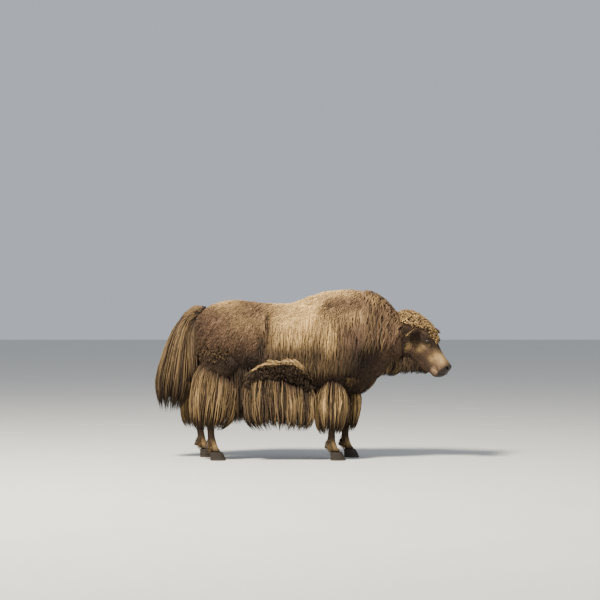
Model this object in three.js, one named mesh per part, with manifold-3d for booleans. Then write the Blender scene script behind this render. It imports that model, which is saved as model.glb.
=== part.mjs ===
// A hornless domestic yak bull, standing, at life size, as a still museum model.
// It is one smooth body parted by thin cuts, with its long coat as flat tapered locks:
// a skirt on each flank, a bell on each foreleg, breeches on each hind leg, a mane, a beard and the tail.
// Frame: +X is forward, +Y is the animal's left, +Z is up, and the floor is Z = 0. Millimetres.

import * as THREE from "three";
import { mergeVertices } from "three/addons/utils/BufferGeometryUtils.js";
import Module from "manifold-3d";

const wasm = await Module();
wasm.setup();

// Driving dimensions
const GAP = 0.3; // between two pieces that touch
const TRUNK_SIDES = 20; // points round a ring of the trunk
const TRUNK_RINGS = 19;
const HEAD_SIDES = 16;
const HEAD_RINGS = 17;
const LEG_SIDES = 10;
const LEG_RINGS = 10;
const LOCK_SINK = 26; // how far a lock's root lies under the skin
const LOCK_THICK = 14;
const CORE_REACH = 0.44; // how much of the way to the tips a core of dense hair fills
const FAR = 1500; // further than any part of the animal reaches

// The trunk from the buttocks to the throat, in rings across X.
// Columns: x, top, underside, height of the widest line, half width, shift sideways, sharpness of ridge.
const TRUNK = [
  [-872, 1085, 850, 970, 55, 0, 1.0],
  [-852, 1150, 790, 970, 150, 0, 1.0],
  [-797, 1216, 735, 970, 216, 0, 1.0],
  [-716, 1260, 690, 965, 252, 0, 1.0],
  [-595, 1289, 640, 955, 272, 0, 1.0],
  [-473, 1286, 595, 925, 276, 0, 1.0],
  [-336, 1272, 555, 880, 292, 0, 1.0],
  [-190, 1264, 520, 850, 316, 0, 1.0],
  [-85, 1272, 505, 842, 326, 0, 1.05],
  [12, 1308, 500, 848, 324, 0, 1.15],
  [133, 1350, 500, 860, 310, 0, 1.25],
  [255, 1371, 508, 870, 298, 0, 1.3],
  [376, 1379, 522, 880, 284, 0, 1.35],
  [473, 1371, 552, 890, 258, 0, 1.35],
  [578, 1342, 625, 900, 220, 0, 1.3],
  [659, 1292, 690, 915, 188, -4, 1.25],
  [716, 1232, 738, 935, 166, -12, 1.2],
  [762, 1176, 778, 950, 150, -22, 1.1],
  [812, 1130, 815, 960, 128, -34, 1.0],
  [862, 1060, 870, 960, 70, -46, 1.0],
];

// Muscles and bones that swell the trunk sideways.
// Columns: x, z, reach along x, reach along z, swell.
const SWELLS = [
  [-640, 1000, 150, 190, 26],
  [-500, 1215, 60, 50, 16],
  [330, 900, 130, 230, 24],
  [255, 1150, 90, 150, 10],
  [-330, 1130, 110, 80, -12],
  [-400, 700, 60, 110, -14],
  [520, 760, 90, 120, 14],
];

// One leg of each pair, from the floor up, in rings across Z.
// Columns: z, x from the hoof's centre, y from the hoof's centre, half depth, half width.
const FORELEG = [
  [66, -8, 0, 50, 46],
  [95, -26, 0, 40, 37],
  [135, -44, 0, 42, 38],
  [175, -46, 0, 36, 33],
  [250, -42, 0, 34, 31],
  [330, -34, 0, 42, 39],
  [375, -28, 0, 50, 45],
  [430, -30, 2, 50, 45],
  [520, -34, 6, 66, 56],
  [620, -42, 12, 88, 70],
  [700, -40, 20, 118, 84],
  [790, -16, 26, 140, 96],
];
const HIND_LEG = [
  [66, -8, 0, 50, 44],
  [95, -24, 0, 40, 36],
  [135, -40, 0, 42, 37],
  [175, -46, 0, 36, 32],
  [260, -54, 0, 35, 31],
  [360, -66, 0, 45, 38],
  [425, -80, 0, 60, 42],
  [480, -72, 4, 58, 46],
  [560, -48, 10, 76, 60],
  [650, -14, 18, 120, 84],
  [750, 28, 24, 166, 104],
  [850, 38, 14, 172, 98],
  [930, 44, 0, 150, 80],
];

// Where each hoof's centre stands on the floor.
const FEET = {
  fore_right: { x: 268, y: -158, table: FORELEG },
  fore_left: { x: 386, y: 158, table: FORELEG },
  hind_right: { x: -690, y: -166, table: HIND_LEG },
  hind_left: { x: -792, y: 166, table: HIND_LEG },
};
const SIDES = [["left", 1], ["right", -1]];

// The head, in rings along its own axis from the poll to the muzzle.
const POLL = new THREE.Vector3(866, -44, 1165);
const HEAD_PITCH = THREE.MathUtils.degToRad(49); // nose down
const HEAD_YAW = THREE.MathUtils.degToRad(22); // nose to the animal's right
// Columns: distance along, top, underside, height of the widest line, half width.
const HEAD = [
  [-72, -50, -140, -95, 46],
  [-40, -14, -170, -92, 88],
  [20, 20, -205, -94, 112],
  [90, 42, -246, -98, 126],
  [155, 52, -274, -102, 132],
  [225, 48, -280, -104, 130],
  [285, 32, -266, -104, 118],
  [345, 13, -242, -104, 101],
  [400, 1, -216, -100, 89],
  [450, -5, -192, -96, 84],
  [492, -8, -178, -93, 86],
  [522, -14, -166, -92, 79],
  [541, -30, -148, -92, 60],
  [551, -56, -126, -94, 32],
];
// Swells of the head: distance along, height, 1 for a pair or 0 for the middle line, reach, swell.
const HEAD_SWELLS = [
  [264, -6, 1, 46, 12],
  [190, -170, 1, 70, 10],
  [505, -40, 1, 28, 9],
  [500, -96, 1, 22, 5],
  [500, -160, 0, 30, 6],
];

// Numbers

// The same numbers each run, from 0 to 1.
let seed = 20611;
function random() {
  seed = (seed * 16807) % 2147483647;
  return seed / 2147483647;
}
const spread = (size) => (random() * 2 - 1) * size;
const power = (value, exponent) => Math.sign(value) * Math.abs(value) ** exponent;
const bell = (distance) => Math.exp(-distance * distance);

// The row of a table at a place between its rows, on a smooth curve through them all.
function rowAt(table, place) {
  const last = table.length - 1;
  let i = 0;
  while (i < last - 1 && place > table[i + 1][0]) i += 1;
  const [a, b] = [table[i], table[i + 1]];
  const before = table[Math.max(i - 1, 0)];
  const after = table[Math.min(i + 2, last)];
  const span = b[0] - a[0];
  const t = THREE.MathUtils.clamp((place - a[0]) / span, 0, 1);
  return a.map((value, k) => {
    const leaving = ((b[k] - before[k]) / (b[0] - before[0])) * span;
    const arriving = ((after[k] - value) / (after[0] - a[0])) * span;
    const smooth = t * t * (3 - 2 * t);
    return (
      value * (1 - smooth) + b[k] * smooth + leaving * t * (1 - t) * (1 - t) - arriving * t * t * (1 - t)
    );
  });
}

// Places through a table, a little closer together at both ends.
function placesOf(table, count) {
  const first = table[0][0];
  const last = table[table.length - 1][0];
  return Array.from({ length: count }, (_, i) => {
    const t = i / (count - 1);
    const eased = 0.7 * t + 0.15 * (1 - Math.cos(Math.PI * t));
    return first + (last - first) * eased;
  });
}

// Solids

// A manifold solid from points and triangles, turned to face outwards.
function solidFrom(points, faces) {
  const vertProperties = new Float32Array(points.flatMap((p) => [p.x, p.y, p.z]));
  let volume = 0;
  for (let i = 0; i < faces.length; i += 3) {
    const [a, b, c] = [points[faces[i]], points[faces[i + 1]], points[faces[i + 2]]];
    volume += a.dot(b.clone().cross(c));
  }
  const turned = volume < 0 ? faces.slice().reverse() : faces;
  const triVerts = new Uint32Array(turned);
  return new wasm.Manifold(new wasm.Mesh({ numProp: 3, vertProperties, triVerts }));
}

// A manifold solid from a three.js geometry, without the flat triangles at its poles.
function solidOf(geometry) {
  const bare = geometry.index ? geometry.toNonIndexed() : geometry.clone();
  bare.deleteAttribute("normal");
  bare.deleteAttribute("uv");
  const merged = mergeVertices(bare, 1e-3);
  const spots = merged.attributes.position;
  const pointAt = (_, i) => new THREE.Vector3().fromBufferAttribute(spots, i);
  const points = Array.from({ length: spots.count }, pointAt);
  const faces = [];
  for (let i = 0; i < merged.index.count; i += 3) {
    const [a, b, c] = merged.index.array.slice(i, i + 3);
    if (a !== b && b !== c && a !== c) faces.push(a, b, c);
  }
  return solidFrom(points, faces);
}

// The three.js geometry of a manifold solid.
function geometryOf(solid) {
  const mesh = solid.getMesh();
  const spots = new Float32Array(mesh.numVert * 3);
  for (let i = 0; i < mesh.numVert; i += 1)
    spots.set(mesh.vertProperties.subarray(i * mesh.numProp, i * mesh.numProp + 3), i * 3);
  const geometry = new THREE.BufferGeometry();
  geometry.setAttribute("position", new THREE.BufferAttribute(spots, 3));
  geometry.setIndex(new THREE.BufferAttribute(new Uint32Array(mesh.triVerts), 1));
  geometry.computeVertexNormals();
  return geometry;
}

const joined = (solids) => solids.reduce((all, solid) => all.add(solid));
const without = (solid, cutters) => cutters.reduce((rest, cutter) => rest.subtract(cutter), solid);

// The largest closed body of a solid, without the scraps that a cut leaves.
function largest(solid) {
  const bodies = solid.decompose();
  return bodies.reduce((best, body) => (body.volume() > best.volume() ? body : best));
}

// A closed solid through rings of points, with a fan at each end, to a tip where one is given.
function through(rings, tip) {
  const sides = rings[0].length;
  const points = rings.flat();
  const faces = [];
  for (let r = 0; r + 1 < rings.length; r += 1)
    for (let i = 0; i < sides; i += 1) {
      const a = r * sides + i;
      const b = r * sides + ((i + 1) % sides);
      faces.push(a, b, b + sides, a, b + sides, a + sides);
    }
  [0, rings.length - 1].forEach((r, end) => {
    const middle = new THREE.Vector3();
    rings[r].forEach((p) => middle.addScaledVector(p, 1 / sides));
    points.push(end && tip ? tip : middle);
    for (let i = 0; i < sides; i += 1) {
      const a = r * sides + i;
      const b = r * sides + ((i + 1) % sides);
      faces.push(points.length - 1, ...(end ? [a, b] : [b, a]));
    }
  });
  return solidFrom(points, faces);
}

// How much further out the first and last ring of a grown form lie.
const endShift = (r, count, grow) => (r === 0 ? -grow : 0) + (r === count - 1 ? grow : 0);

// A rounded ball or pod.
function ball(centre, radii, turn, columns = 10, rows = 8) {
  const geometry = new THREE.SphereGeometry(1, columns, rows);
  geometry.scale(...radii);
  if (turn) geometry.applyMatrix4(turn);
  geometry.translate(centre.x, centre.y, centre.z);
  return solidOf(geometry);
}

// The trunk

// A point on the trunk's skin, lifted off it by grow, at an angle from its left side over its ridge.
function trunkPoint(place, angle, grow) {
  const [x, top, low, mid, half, shift, ridge] = rowAt(TRUNK, place);
  const across = Math.cos(angle);
  const up = Math.sin(angle);
  const tall = up > 0 ? top - mid + grow : mid - low + grow;
  const z = mid + tall * power(up, 0.95);
  const swell = SWELLS.reduce(
    (sum, [sx, sz, rx, rz, out]) => sum + out * bell((x - sx) / rx) * bell((z - sz) / rz),
    0,
  );
  const wide = half + grow + swell * Math.min(1, Math.abs(across) * 2);
  return new THREE.Vector3(x, shift + wide * power(across, up > 0 ? ridge : 0.86), z);
}

function trunk(grow) {
  const rings = placesOf(TRUNK, TRUNK_RINGS).map((place, r) =>
    Array.from({ length: TRUNK_SIDES }, (_, i) => {
      const point = trunkPoint(place, (i / TRUNK_SIDES) * Math.PI * 2, grow);
      point.x += endShift(r, TRUNK_RINGS, grow);
      return point;
    }),
  );
  return through(rings);
}

// Columns: legs, hooves and hanging hair

// A point on a column's skin at a height and an angle from its front towards its outer side.
function columnPoint(table, { x = 0, y = 0, side = 1, square = 1 }, height, angle, grow) {
  const [z, dx, dy, deep, wide] = rowAt(table, height);
  return new THREE.Vector3(
    x + dx + (deep + grow) * power(Math.cos(angle), square),
    y + side * dy + side * (wide + grow) * power(Math.sin(angle), square),
    z,
  );
}

function column(table, { sides = LEG_SIDES, rings = LEG_RINGS, grow = 0, ...place }) {
  return through(
    placesOf(table, rings).map((height, r) =>
      Array.from({ length: sides }, (_, i) => {
        const point = columnPoint(table, place, height, ((i + 0.5) / sides) * Math.PI * 2, grow);
        point.z += endShift(r, rings, grow);
        return point;
      }),
    ),
  );
}

// The head

// Its own directions: along to the muzzle, up from the face, and out to the animal's left.
const along = new THREE.Vector3(
  Math.cos(HEAD_PITCH) * Math.cos(HEAD_YAW),
  -Math.cos(HEAD_PITCH) * Math.sin(HEAD_YAW),
  -Math.sin(HEAD_PITCH),
);
const out = new THREE.Vector3(Math.sin(HEAD_YAW), Math.cos(HEAD_YAW), 0);
const upward = along.clone().cross(out);
const headTurn = new THREE.Matrix4().makeBasis(along, out, upward).setPosition(POLL);
const headSpin = new THREE.Matrix4().extractRotation(headTurn);

// A point of the head from its distance along, its height and its distance out.
function headPoint(u, v, w) {
  return POLL.clone().addScaledVector(along, u).addScaledVector(upward, v).addScaledVector(out, w);
}

// A point on the head's skin at a distance along and an angle from its left side over the face.
function headSkin(place, angle, grow) {
  const [u, top, low, mid, half] = rowAt(HEAD, place);
  const across = Math.cos(angle);
  const up = Math.sin(angle);
  const tall = up > 0 ? top - mid + grow : mid - low + grow;
  let v = mid + tall * power(up, 0.85);
  let w = (half + grow) * power(across, up > 0 ? 0.8 : 0.95);
  HEAD_SWELLS.forEach(([su, sv, paired, reach, swell]) => {
    const near = swell * bell((u - su) / reach) * bell((v - sv) / reach);
    if (paired) w += Math.sign(across) * near * Math.min(1, Math.abs(across) * 3);
    else v += Math.sign(up) * near * Math.abs(up);
  });
  return headPoint(u, v, w);
}

function headForm(grow) {
  const rings = placesOf(HEAD, HEAD_RINGS).map((place, r) =>
    Array.from({ length: HEAD_SIDES }, (_, i) =>
      headSkin(place, (i / HEAD_SIDES) * Math.PI * 2, grow).addScaledVector(
        along,
        endShift(r, HEAD_RINGS, grow),
      ),
    ),
  );
  return through(rings);
}

// Lands: the room of each part of the body, as a prism across Y, or the space ahead of a plane

const MIDLINE = 52; // half the strip of torso between the hind legs
const BREAST = 44; // half the strip of torso between the forelegs
const LANDS = {
  hindleg: [[-1000, -50], [-470, -50], [-470, 735], [-870, 880], [-1000, 880]],
  foreleg: [[96, -50], [520, -50], [520, 640], [96, 705]],
  flank: [[-470 + GAP, -50], [96 - GAP, -50], [96 - GAP, 792], [-300, 800], [-470 + GAP, 740]],
};
const NEAREST = { hindleg: MIDLINE, foreleg: BREAST, flank: GAP / 2 };
const NECK_PLANE = { x: 600, z: 950, lean: 0.17 };
const HEAD_PLANE = { x: 792, z: 950, lean: -0.05, turn: THREE.MathUtils.degToRad(9) };

// The corners of an outline moved outwards by grow.
function widened(outline, grow) {
  const count = outline.length;
  const sides = outline.map(([x, z], i) => {
    const [nx, nz] = outline[(i + 1) % count];
    const length = Math.hypot(nx - x, nz - z);
    return [(nz - z) / length, (x - nx) / length];
  });
  return outline.map(([x, z], i) => {
    const [ax, az] = sides[(i + count - 1) % count];
    const [bx, bz] = sides[i];
    const share = grow / (1 + ax * bx + az * bz);
    return [x + (ax + bx) * share, z + (az + bz) * share];
  });
}

// The prism of a land on one side of the animal.
function prism(land, side, grow) {
  const corners = widened(LANDS[land], grow).map(([x, z]) => new THREE.Vector2(x, z));
  const near = NEAREST[land] - grow;
  const depth = FAR - near;
  const geometry = new THREE.ExtrudeGeometry(new THREE.Shape(corners), { depth, bevelEnabled: false });
  geometry.rotateX(Math.PI / 2);
  geometry.translate(0, side > 0 ? FAR : -near, 0);
  return solidOf(geometry);
}

// The space ahead of a leaning plane, from grow behind it.
function ahead({ x, z, lean, turn = 0 }, grow) {
  const geometry = new THREE.BoxGeometry(FAR * 2, FAR * 4, FAR * 4);
  geometry.translate(FAR - grow, 0, 0);
  geometry.rotateY(Math.atan(lean));
  geometry.rotateZ(-turn);
  geometry.translate(x, 0, z);
  return solidOf(geometry);
}

// The whole body, and its parts

function wholeBody(grow) {
  const legs = Object.values(FEET).map(({ x, y, table }) =>
    column(table, { x, y, side: Math.sign(y), grow }),
  );
  return joined([trunk(grow), headForm(grow), ...legs]);
}

// Each land's own piece, and the torso from what is left.
function parted(whole, grow) {
  const pieces = {
    head: whole.intersect(ahead(HEAD_PLANE, grow)),
    neck: whole.intersect(ahead(NECK_PLANE, grow)).subtract(ahead(HEAD_PLANE, GAP - grow)),
  };
  const rear = whole.subtract(ahead(NECK_PLANE, GAP - grow));
  const cutters = [];
  SIDES.forEach(([name, side]) => {
    Object.keys(LANDS).forEach((land) => {
      pieces[`${land}_${name}`] = rear.intersect(prism(land, side, grow));
      cutters.push(prism(land, side, GAP - grow));
    });
  });
  pieces.torso = without(rear, cutters);
  return pieces;
}

const flesh = parted(wholeBody(0), 0);
const fatFlesh = parted(wholeBody(GAP), GAP);

// The finished nodes

const FINISHES = {
  coat: { color: 0x5a4030, roughness: 0.85, metalness: 0 },
  horn: { color: 0x2b2622, roughness: 0.5, metalness: 0 },
  dewclaw: { color: 0x8c6a44, roughness: 0.6, metalness: 0 },
  eye: { color: 0x120c08, roughness: 0.1, metalness: 0 },
};
const yak = new THREE.Group();
function finished(name, solid, finish) {
  const mesh = new THREE.Mesh(geometryOf(solid), new THREE.MeshStandardMaterial(FINISHES[finish]));
  mesh.name = name;
  yak.add(mesh);
}

// Eyes, with their lids on the head

const EYE = { u: 276, v: -14, w: 97, radius: 18 };
const LID = 4;
const eyeBall = (side, grow) =>
  ball(headPoint(EYE.u, EYE.v, side * EYE.w), Array(3).fill(EYE.radius + grow), headSpin, 8, 6);
const lids = (side, grow) => {
  const radii = [27 + grow, EYE.radius + LID + grow, 22 + grow];
  return ball(headPoint(EYE.u, EYE.v, side * (EYE.w - 1)), radii, headSpin, 8, 4);
};
// The almond opening between the lids, a little ahead of the eye's middle.
const lidOpening = (side) =>
  ball(headPoint(EYE.u + 4, EYE.v + 1, side * (EYE.w + EYE.radius)), [17, 20, 9.5], headSpin, 6, 4);

// Ears: a leaf with a cup in its forward face, its root sunk in the side of the poll

const EAR = { u: 158, v: -18, w: 96, width: 76 };
// From root to tip: along the head, up and out. The left ear is held forward, the right one hangs a little.
const EAR_REACH = { left: [62, 50, 126], right: [0, -36, 124] };
// Columns: share of the length, half width, half thickness.
const EAR_TABLE = [
  [0, 24, 22],
  [0.15, 27, 24],
  [0.45, EAR.width / 2, 19],
  [0.75, EAR.width / 2 - 9, 13],
  [1, 9, 7],
];
const EAR_RINGS = 5;
const EAR_SIDES = 8;
function earSolid(side, grow, cupped) {
  const root = headPoint(EAR.u, EAR.v, side * EAR.w);
  const [along, up, out] = side > 0 ? EAR_REACH.left : EAR_REACH.right;
  const tip = headPoint(EAR.u + along, EAR.v + up, side * (EAR.w + out));
  const length = tip.distanceTo(root);
  const tipward = tip.clone().sub(root).normalize();
  const wide = upward.clone().addScaledVector(tipward, -upward.dot(tipward)).normalize();
  const front = tipward.clone().cross(wide).multiplyScalar(-side).normalize();
  const rings = Array.from({ length: EAR_RINGS }, (_, r) => {
    const t = r / (EAR_RINGS - 1);
    const [, half, deep] = rowAt(EAR_TABLE, t);
    return Array.from({ length: EAR_SIDES }, (_, i) => {
      const angle = (i / EAR_SIDES) * Math.PI * 2;
      const curl = 14 * Math.cos(angle) ** 2 * Math.sin(Math.PI * t);
      return root
        .clone()
        .addScaledVector(tipward, length * t + endShift(r, EAR_RINGS, grow))
        .addScaledVector(wide, (half + grow) * Math.cos(angle))
        .addScaledVector(front, (deep + grow) * Math.sin(angle) + curl);
    });
  });
  const leaf = through(rings);
  if (!cupped) return leaf;
  const turn = new THREE.Matrix4().makeBasis(tipward, wide, front);
  const cup = root.clone().addScaledVector(tipward, length * 0.56).addScaledVector(front, 27);
  return leaf.subtract(ball(cup, [length * 0.36, EAR.width * 0.34, 27], turn, 8, 4));
}

SIDES.forEach(([name, side]) => {
  flesh.head = flesh.head
    .add(lids(side, 0))
    .subtract(lidOpening(side))
    .subtract(eyeBall(side, GAP))
    .subtract(earSolid(side, GAP, false));
  finished(`eye_${name}`, eyeBall(side, 0), "eye");
  finished(`ear_${name}`, earSolid(side, 0, true), "coat");
});

// Nostrils and the slit of the mouth

const NOSTRIL = { u: 530, v: -46, w: 40, radii: [24, 10, 13], flare: 0.6 };
const MOUTH = { u: 515, v: -112, long: 120, across: 250, thin: 4.5, tilt: -0.16 };
SIDES.forEach(([, side]) => {
  const turn = headSpin.clone().multiply(new THREE.Matrix4().makeRotationZ(side * NOSTRIL.flare));
  const centre = headPoint(NOSTRIL.u, NOSTRIL.v, side * NOSTRIL.w);
  flesh.head = flesh.head.subtract(ball(centre, NOSTRIL.radii, turn, 6, 4));
});
const slit = new THREE.BoxGeometry(MOUTH.long, MOUTH.across, MOUTH.thin);
slit.rotateY(MOUTH.tilt);
slit.translate(MOUTH.u, 0, MOUTH.v);
slit.applyMatrix4(headTurn);
flesh.head = flesh.head.subtract(solidOf(slit));

// Hooves: two claws to a foot, flat on the floor, and two dewclaws behind each fetlock

const HOOF_TOP = 66;
const CLAW_APART = 27.5; // from the middle of the foot to the middle of a claw
const CLAW = [
  [0, 8, 0, 60, 27],
  [12, 7, 0, 60, 27],
  [40, 0, 0, 53, 25],
  [HOOF_TOP - GAP, -8, 0, 46, 22],
];
const DEWCLAW = { back: 82, apart: 21, z: 112, radii: [22, 12, 17], lean: 0.5 };
function dewclaw({ x, y }, away, grow) {
  const centre = new THREE.Vector3(x - DEWCLAW.back, y + DEWCLAW.apart * away, DEWCLAW.z);
  const radii = DEWCLAW.radii.map((radius) => radius + grow);
  return ball(centre, radii, new THREE.Matrix4().makeRotationY(DEWCLAW.lean), 6, 3);
}
Object.entries(FEET).forEach(([name, foot]) => {
  const [pair, flank] = name.split("_");
  const leg = pair === "fore" ? `foreleg_${flank}` : `hindleg_${flank}`;
  const outwards = Math.sign(foot.y);
  [["inner", -outwards], ["outer", outwards]].forEach(([where, away]) => {
    const place = { x: foot.x, y: foot.y + CLAW_APART * away, sides: 8, rings: 3, square: 0.85 };
    finished(`hoof_${name}_${where}`, column(CLAW, place), "horn");
    finished(`dewclaw_${name}_${where}`, dewclaw(foot, away, 0), "dewclaw");
    flesh[leg] = flesh[leg].subtract(dewclaw(foot, away, GAP));
  });
});

// Locks and clumps of hair

// Columns: share of the way along a lock, share of its width, share of its thickness, lift off the form.
const LOCK_RINGS = [
  [0, 0.7, 0.9, -LOCK_SINK],
  [0.4, 1, 1, 0],
  [0.78, 0.68, 0.6, -1],
];
const TIP_LIFT = -6;

// One lock: a flat strip with a low ridge, that follows a form's skin from its sunk root to a point.
// skin(t, lift) gives the place on the form at a share of the lock's way, lifted off by lift.
function lock({ skin, width, thick = LOCK_THICK }, grow) {
  const rings = LOCK_RINGS.map(([t, wide, deep, lift], r) => {
    const middle = skin(t, lift);
    const way = skin(Math.min(t + 0.05, 1), lift).sub(skin(Math.max(t - 0.05, 0), lift)).normalize();
    const outwards = skin(t, lift + 8).sub(middle);
    const flat = way.clone().cross(outwards).normalize();
    const raised = flat.clone().cross(way);
    const halfWidth = (width / 2) * wide;
    const halfThick = (thick / 2) * deep;
    const slope = Math.hypot(halfWidth, 2 * halfThick);
    const corner = halfWidth + (grow * (halfWidth + slope)) / (2 * halfThick);
    const ridge = halfThick + (grow * slope) / halfWidth;
    if (r === 0) middle.addScaledVector(way, -grow);
    return [[corner, -halfThick - grow], [0, ridge], [-corner, -halfThick - grow]].map(([a, b]) =>
      middle.clone().addScaledVector(flat, a).addScaledVector(raised, b),
    );
  });
  const tip = skin(1, TIP_LIFT);
  tip.addScaledVector(tip.clone().sub(skin(0.94, TIP_LIFT)).normalize(), grow * 2);
  return through(rings, tip);
}

// One clump: a low rounded pod, a little flattened onto the skin it grows from.
function clump({ centre, radius, facing }, grow) {
  const turn = new THREE.Matrix4().makeRotationFromQuaternion(
    new THREE.Quaternion().setFromUnitVectors(new THREE.Vector3(0, 1, 0), facing),
  );
  return ball(centre, [radius + grow, radius * 0.72 + grow, radius + grow], turn, 6, 3);
}

// Rows of locks round a hanging form. Each row: how many, where they start and end on the way
// to the tips, their width, how far they lie over the row beneath, and the first and last angle.
function locksRound(skin, rows) {
  return rows.flatMap(([count, from, to, width, over, first, last]) =>
    Array.from({ length: count }, (_, i) => {
      const angle = first + ((last - first) * (i + 0.5 + spread(0.25))) / count;
      const start = from + spread(0.03);
      const end = to + spread(0.05);
      const sway = spread(0.09);
      return {
        width: width * (1 + spread(0.18)),
        skin: (t, lift) =>
          skin(start + (end - start) * t, angle + sway * Math.sin(Math.PI * t), lift + over),
      };
    }),
  );
}

// A table of rings cut off above the tips: reach 1 keeps it whole.
function shortened(table, reach) {
  const top = table[table.length - 1][0];
  const low = top - (top - table[0][0]) * reach;
  return [rowAt(table, low), ...table.filter((row) => row[0] > low + 20)];
}

const TURN = Math.PI * 2;

// The angle on a squared column that spreads evenly turned locks evenly along its flat sides.
function evened(angle, square) {
  const turned = ((angle % TURN) + TURN) % TURN;
  const side = turned > Math.PI ? -1 : 1;
  const fromFront = side > 0 ? turned : TURN - turned;
  return side * Math.acos(power(1 - (2 * fromFront) / Math.PI, 1 / square));
}

// A hanging column's skin from its top (0) to its tips (1).
function hangingSkin(table, place) {
  const top = table[table.length - 1][0];
  const drop = top - table[0][0];
  return (share, angle, lift) => {
    const turned = place.square ? evened(angle, place.square) : angle;
    return columnPoint(table, place, top - drop * Math.min(share, 1.08), turned, lift);
  };
}

// Bells of the forelegs and breeches of the hind legs.
// Columns: z, x and y from the hoof's centre, half depth, half width.
const BELL = [
  [205, -60, 8, 84, 70],
  [260, -56, 8, 112, 90],
  [380, -50, 12, 134, 104],
  [500, -46, 14, 138, 108],
  [600, -42, 16, 126, 100],
  [680, -36, 18, 100, 84],
];
const BELL_ROWS = [
  [9, 0.04, 0.66, 68, 12, 0, TURN],
  [10, 0.34, 1, 70, 0, 0.2, TURN + 0.2],
];
const BREECHES = [
  [235, -34, 8, 108, 66],
  [300, -16, 10, 168, 88],
  [450, -6, 14, 198, 106],
  [600, 0, 16, 202, 112],
  [720, 8, 18, 188, 110],
  [800, 22, 16, 150, 92],
];
const BREECHES_ROWS = [
  [10, 0.05, 0.64, 78, 12, 0, TURN],
  [11, 0.32, 1, 84, 0, 0.2, TURN + 0.2],
];

// Skirt of each flank: a curtain of long hair under a roll of matted curls.
const SKIRT = [
  [235, -182, 252, 224, 14],
  [300, -190, 256, 276, 24],
  [420, -196, 262, 290, 34],
  [560, -198, 262, 294, 42],
  [680, -198, 262, 284, 46],
  [760, -198, 250, 254, 28],
];
const SKIRT_SQUARE = 0.6;
const SKIRT_ROWS = [
  [9, 0.06, 0.68, 64, 12, 0.1, Math.PI - 0.1],
  [11, 0.34, 1, 60, 0, 0, Math.PI],
  [2, 0.34, 0.96, 90, 0, Math.PI + 0.5, TURN - 0.5],
];
const ROLL = { count: 9, from: -435, to: 70, crest: 800, drop: 88, middle: -225, reach: 300, radius: 36 };

// Brisket, throat and beard.
const BRISKET = [
  [505, 395, 0, 60, 60],
  [560, 440, 0, 96, 84],
  [650, 480, 0, 118, 110],
  [740, 500, 0, 120, 120],
];
const THROAT = [
  [664, 678, -10, 50, 34],
  [700, 690, -14, 92, 66],
  [760, 706, -18, 104, 92],
  [850, 712, -20, 100, 100],
];
const BEARD = [
  [686, 872, -64, 92, 36],
  [712, 882, -66, 116, 54],
  [780, 880, -66, 122, 76],
  [850, 862, -60, 104, 88],
];
const BRISKET_ROWS = [[8, 0.3, 1, 66, 0, 0, TURN]];
const THROAT_ROWS = [[3, 0.1, 0.7, 64, 10, 0, TURN], [6, 0.35, 1, 64, 0, 0, TURN]];
const BEARD_ROWS = [[3, 0.1, 0.75, 70, 8, 0, TURN], [7, 0.35, 1, 68, 0, 0, TURN]];

// Tail: an arched stem that widens into a brush.
const TAIL_LINE = [
  [-770, 1180],
  [-850, 1196],
  [-930, 1140],
  [-988, 1010],
  [-1018, 860],
  [-1042, 700],
  [-1078, 400],
];
// Columns: share of the way, half depth, half width.
const TAIL = [
  [0, 26, 34],
  [0.15, 44, 42],
  [0.35, 88, 68],
  [0.55, 124, 90],
  [0.8, 146, 100],
  [1, 92, 66],
];
const TAIL_SIDES = 10;
const TAIL_RINGS = 9;
const TAIL_ROWS = [
  [3, 0.12, 0.5, 72, 22, 0, TURN],
  [7, 0.26, 0.78, 80, 12, 0.3, TURN + 0.3],
  [9, 0.38, 1, 88, 0, 0, TURN],
];
const tailCurve = new THREE.CatmullRomCurve3(TAIL_LINE.map(([x, z]) => new THREE.Vector3(x, 0, z)));
function tailSkin(share, angle, lift) {
  const t = THREE.MathUtils.clamp(share, 0, 1);
  const [, deep, wide] = rowAt(TAIL, t);
  const way = tailCurve.getTangent(t);
  return tailCurve
    .getPoint(t)
    .addScaledVector(way, (share - t) * tailCurve.getLength())
    .addScaledVector(new THREE.Vector3(way.z, 0, -way.x), (deep + lift) * Math.cos(angle))
    .add(new THREE.Vector3(0, (wide + lift) * Math.sin(angle), 0));
}
function tailForm(reach, grow) {
  return through(
    Array.from({ length: TAIL_RINGS }, (_, r) =>
      Array.from({ length: TAIL_SIDES }, (_, i) =>
        tailSkin((reach * r) / (TAIL_RINGS - 1), (i / TAIL_SIDES) * TURN, grow).addScaledVector(
          tailCurve.getTangent((reach * r) / (TAIL_RINGS - 1)),
          endShift(r, TAIL_RINGS, grow),
        ),
      ),
    ),
  );
}

// Mane: locks that fall over the crest and down both sides of the neck.
// Each row: the angle down from the ridge of its roots and of its tips, and how far it lies over the skin.
const MANE_ROWS = [
  [-0.3, 0.46, 22],
  [0.32, 0.9, 17],
  [0.74, 1.35, 12],
];
const MANE = { first: 602, last: 784, count: 4, sweep: 26, width: 66 };
function maneLocks() {
  const step = (MANE.last - MANE.first) / (MANE.count - 1);
  return SIDES.flatMap(([, side]) =>
    MANE_ROWS.flatMap(([high, low, over], row) =>
      Array.from({ length: MANE.count }, (_, i) => {
        const x = MANE.first + step * (i + 0.5 * (row % 2) + spread(0.2));
        const bend = spread(14);
        const end = low + spread(0.08);
        const skin = (t, lift) => {
          const place = x + MANE.sweep * t + bend * Math.sin(Math.PI * t);
          return trunkPoint(place, Math.PI / 2 - side * (high + (end - high) * t), lift + over);
        };
        return { x, row, width: MANE.width * (1 + spread(0.15)), skin };
      }),
    ),
  );
}
const mane = maneLocks();
const NAPE = 652; // the mane's locks behind this belong to the torso

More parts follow.
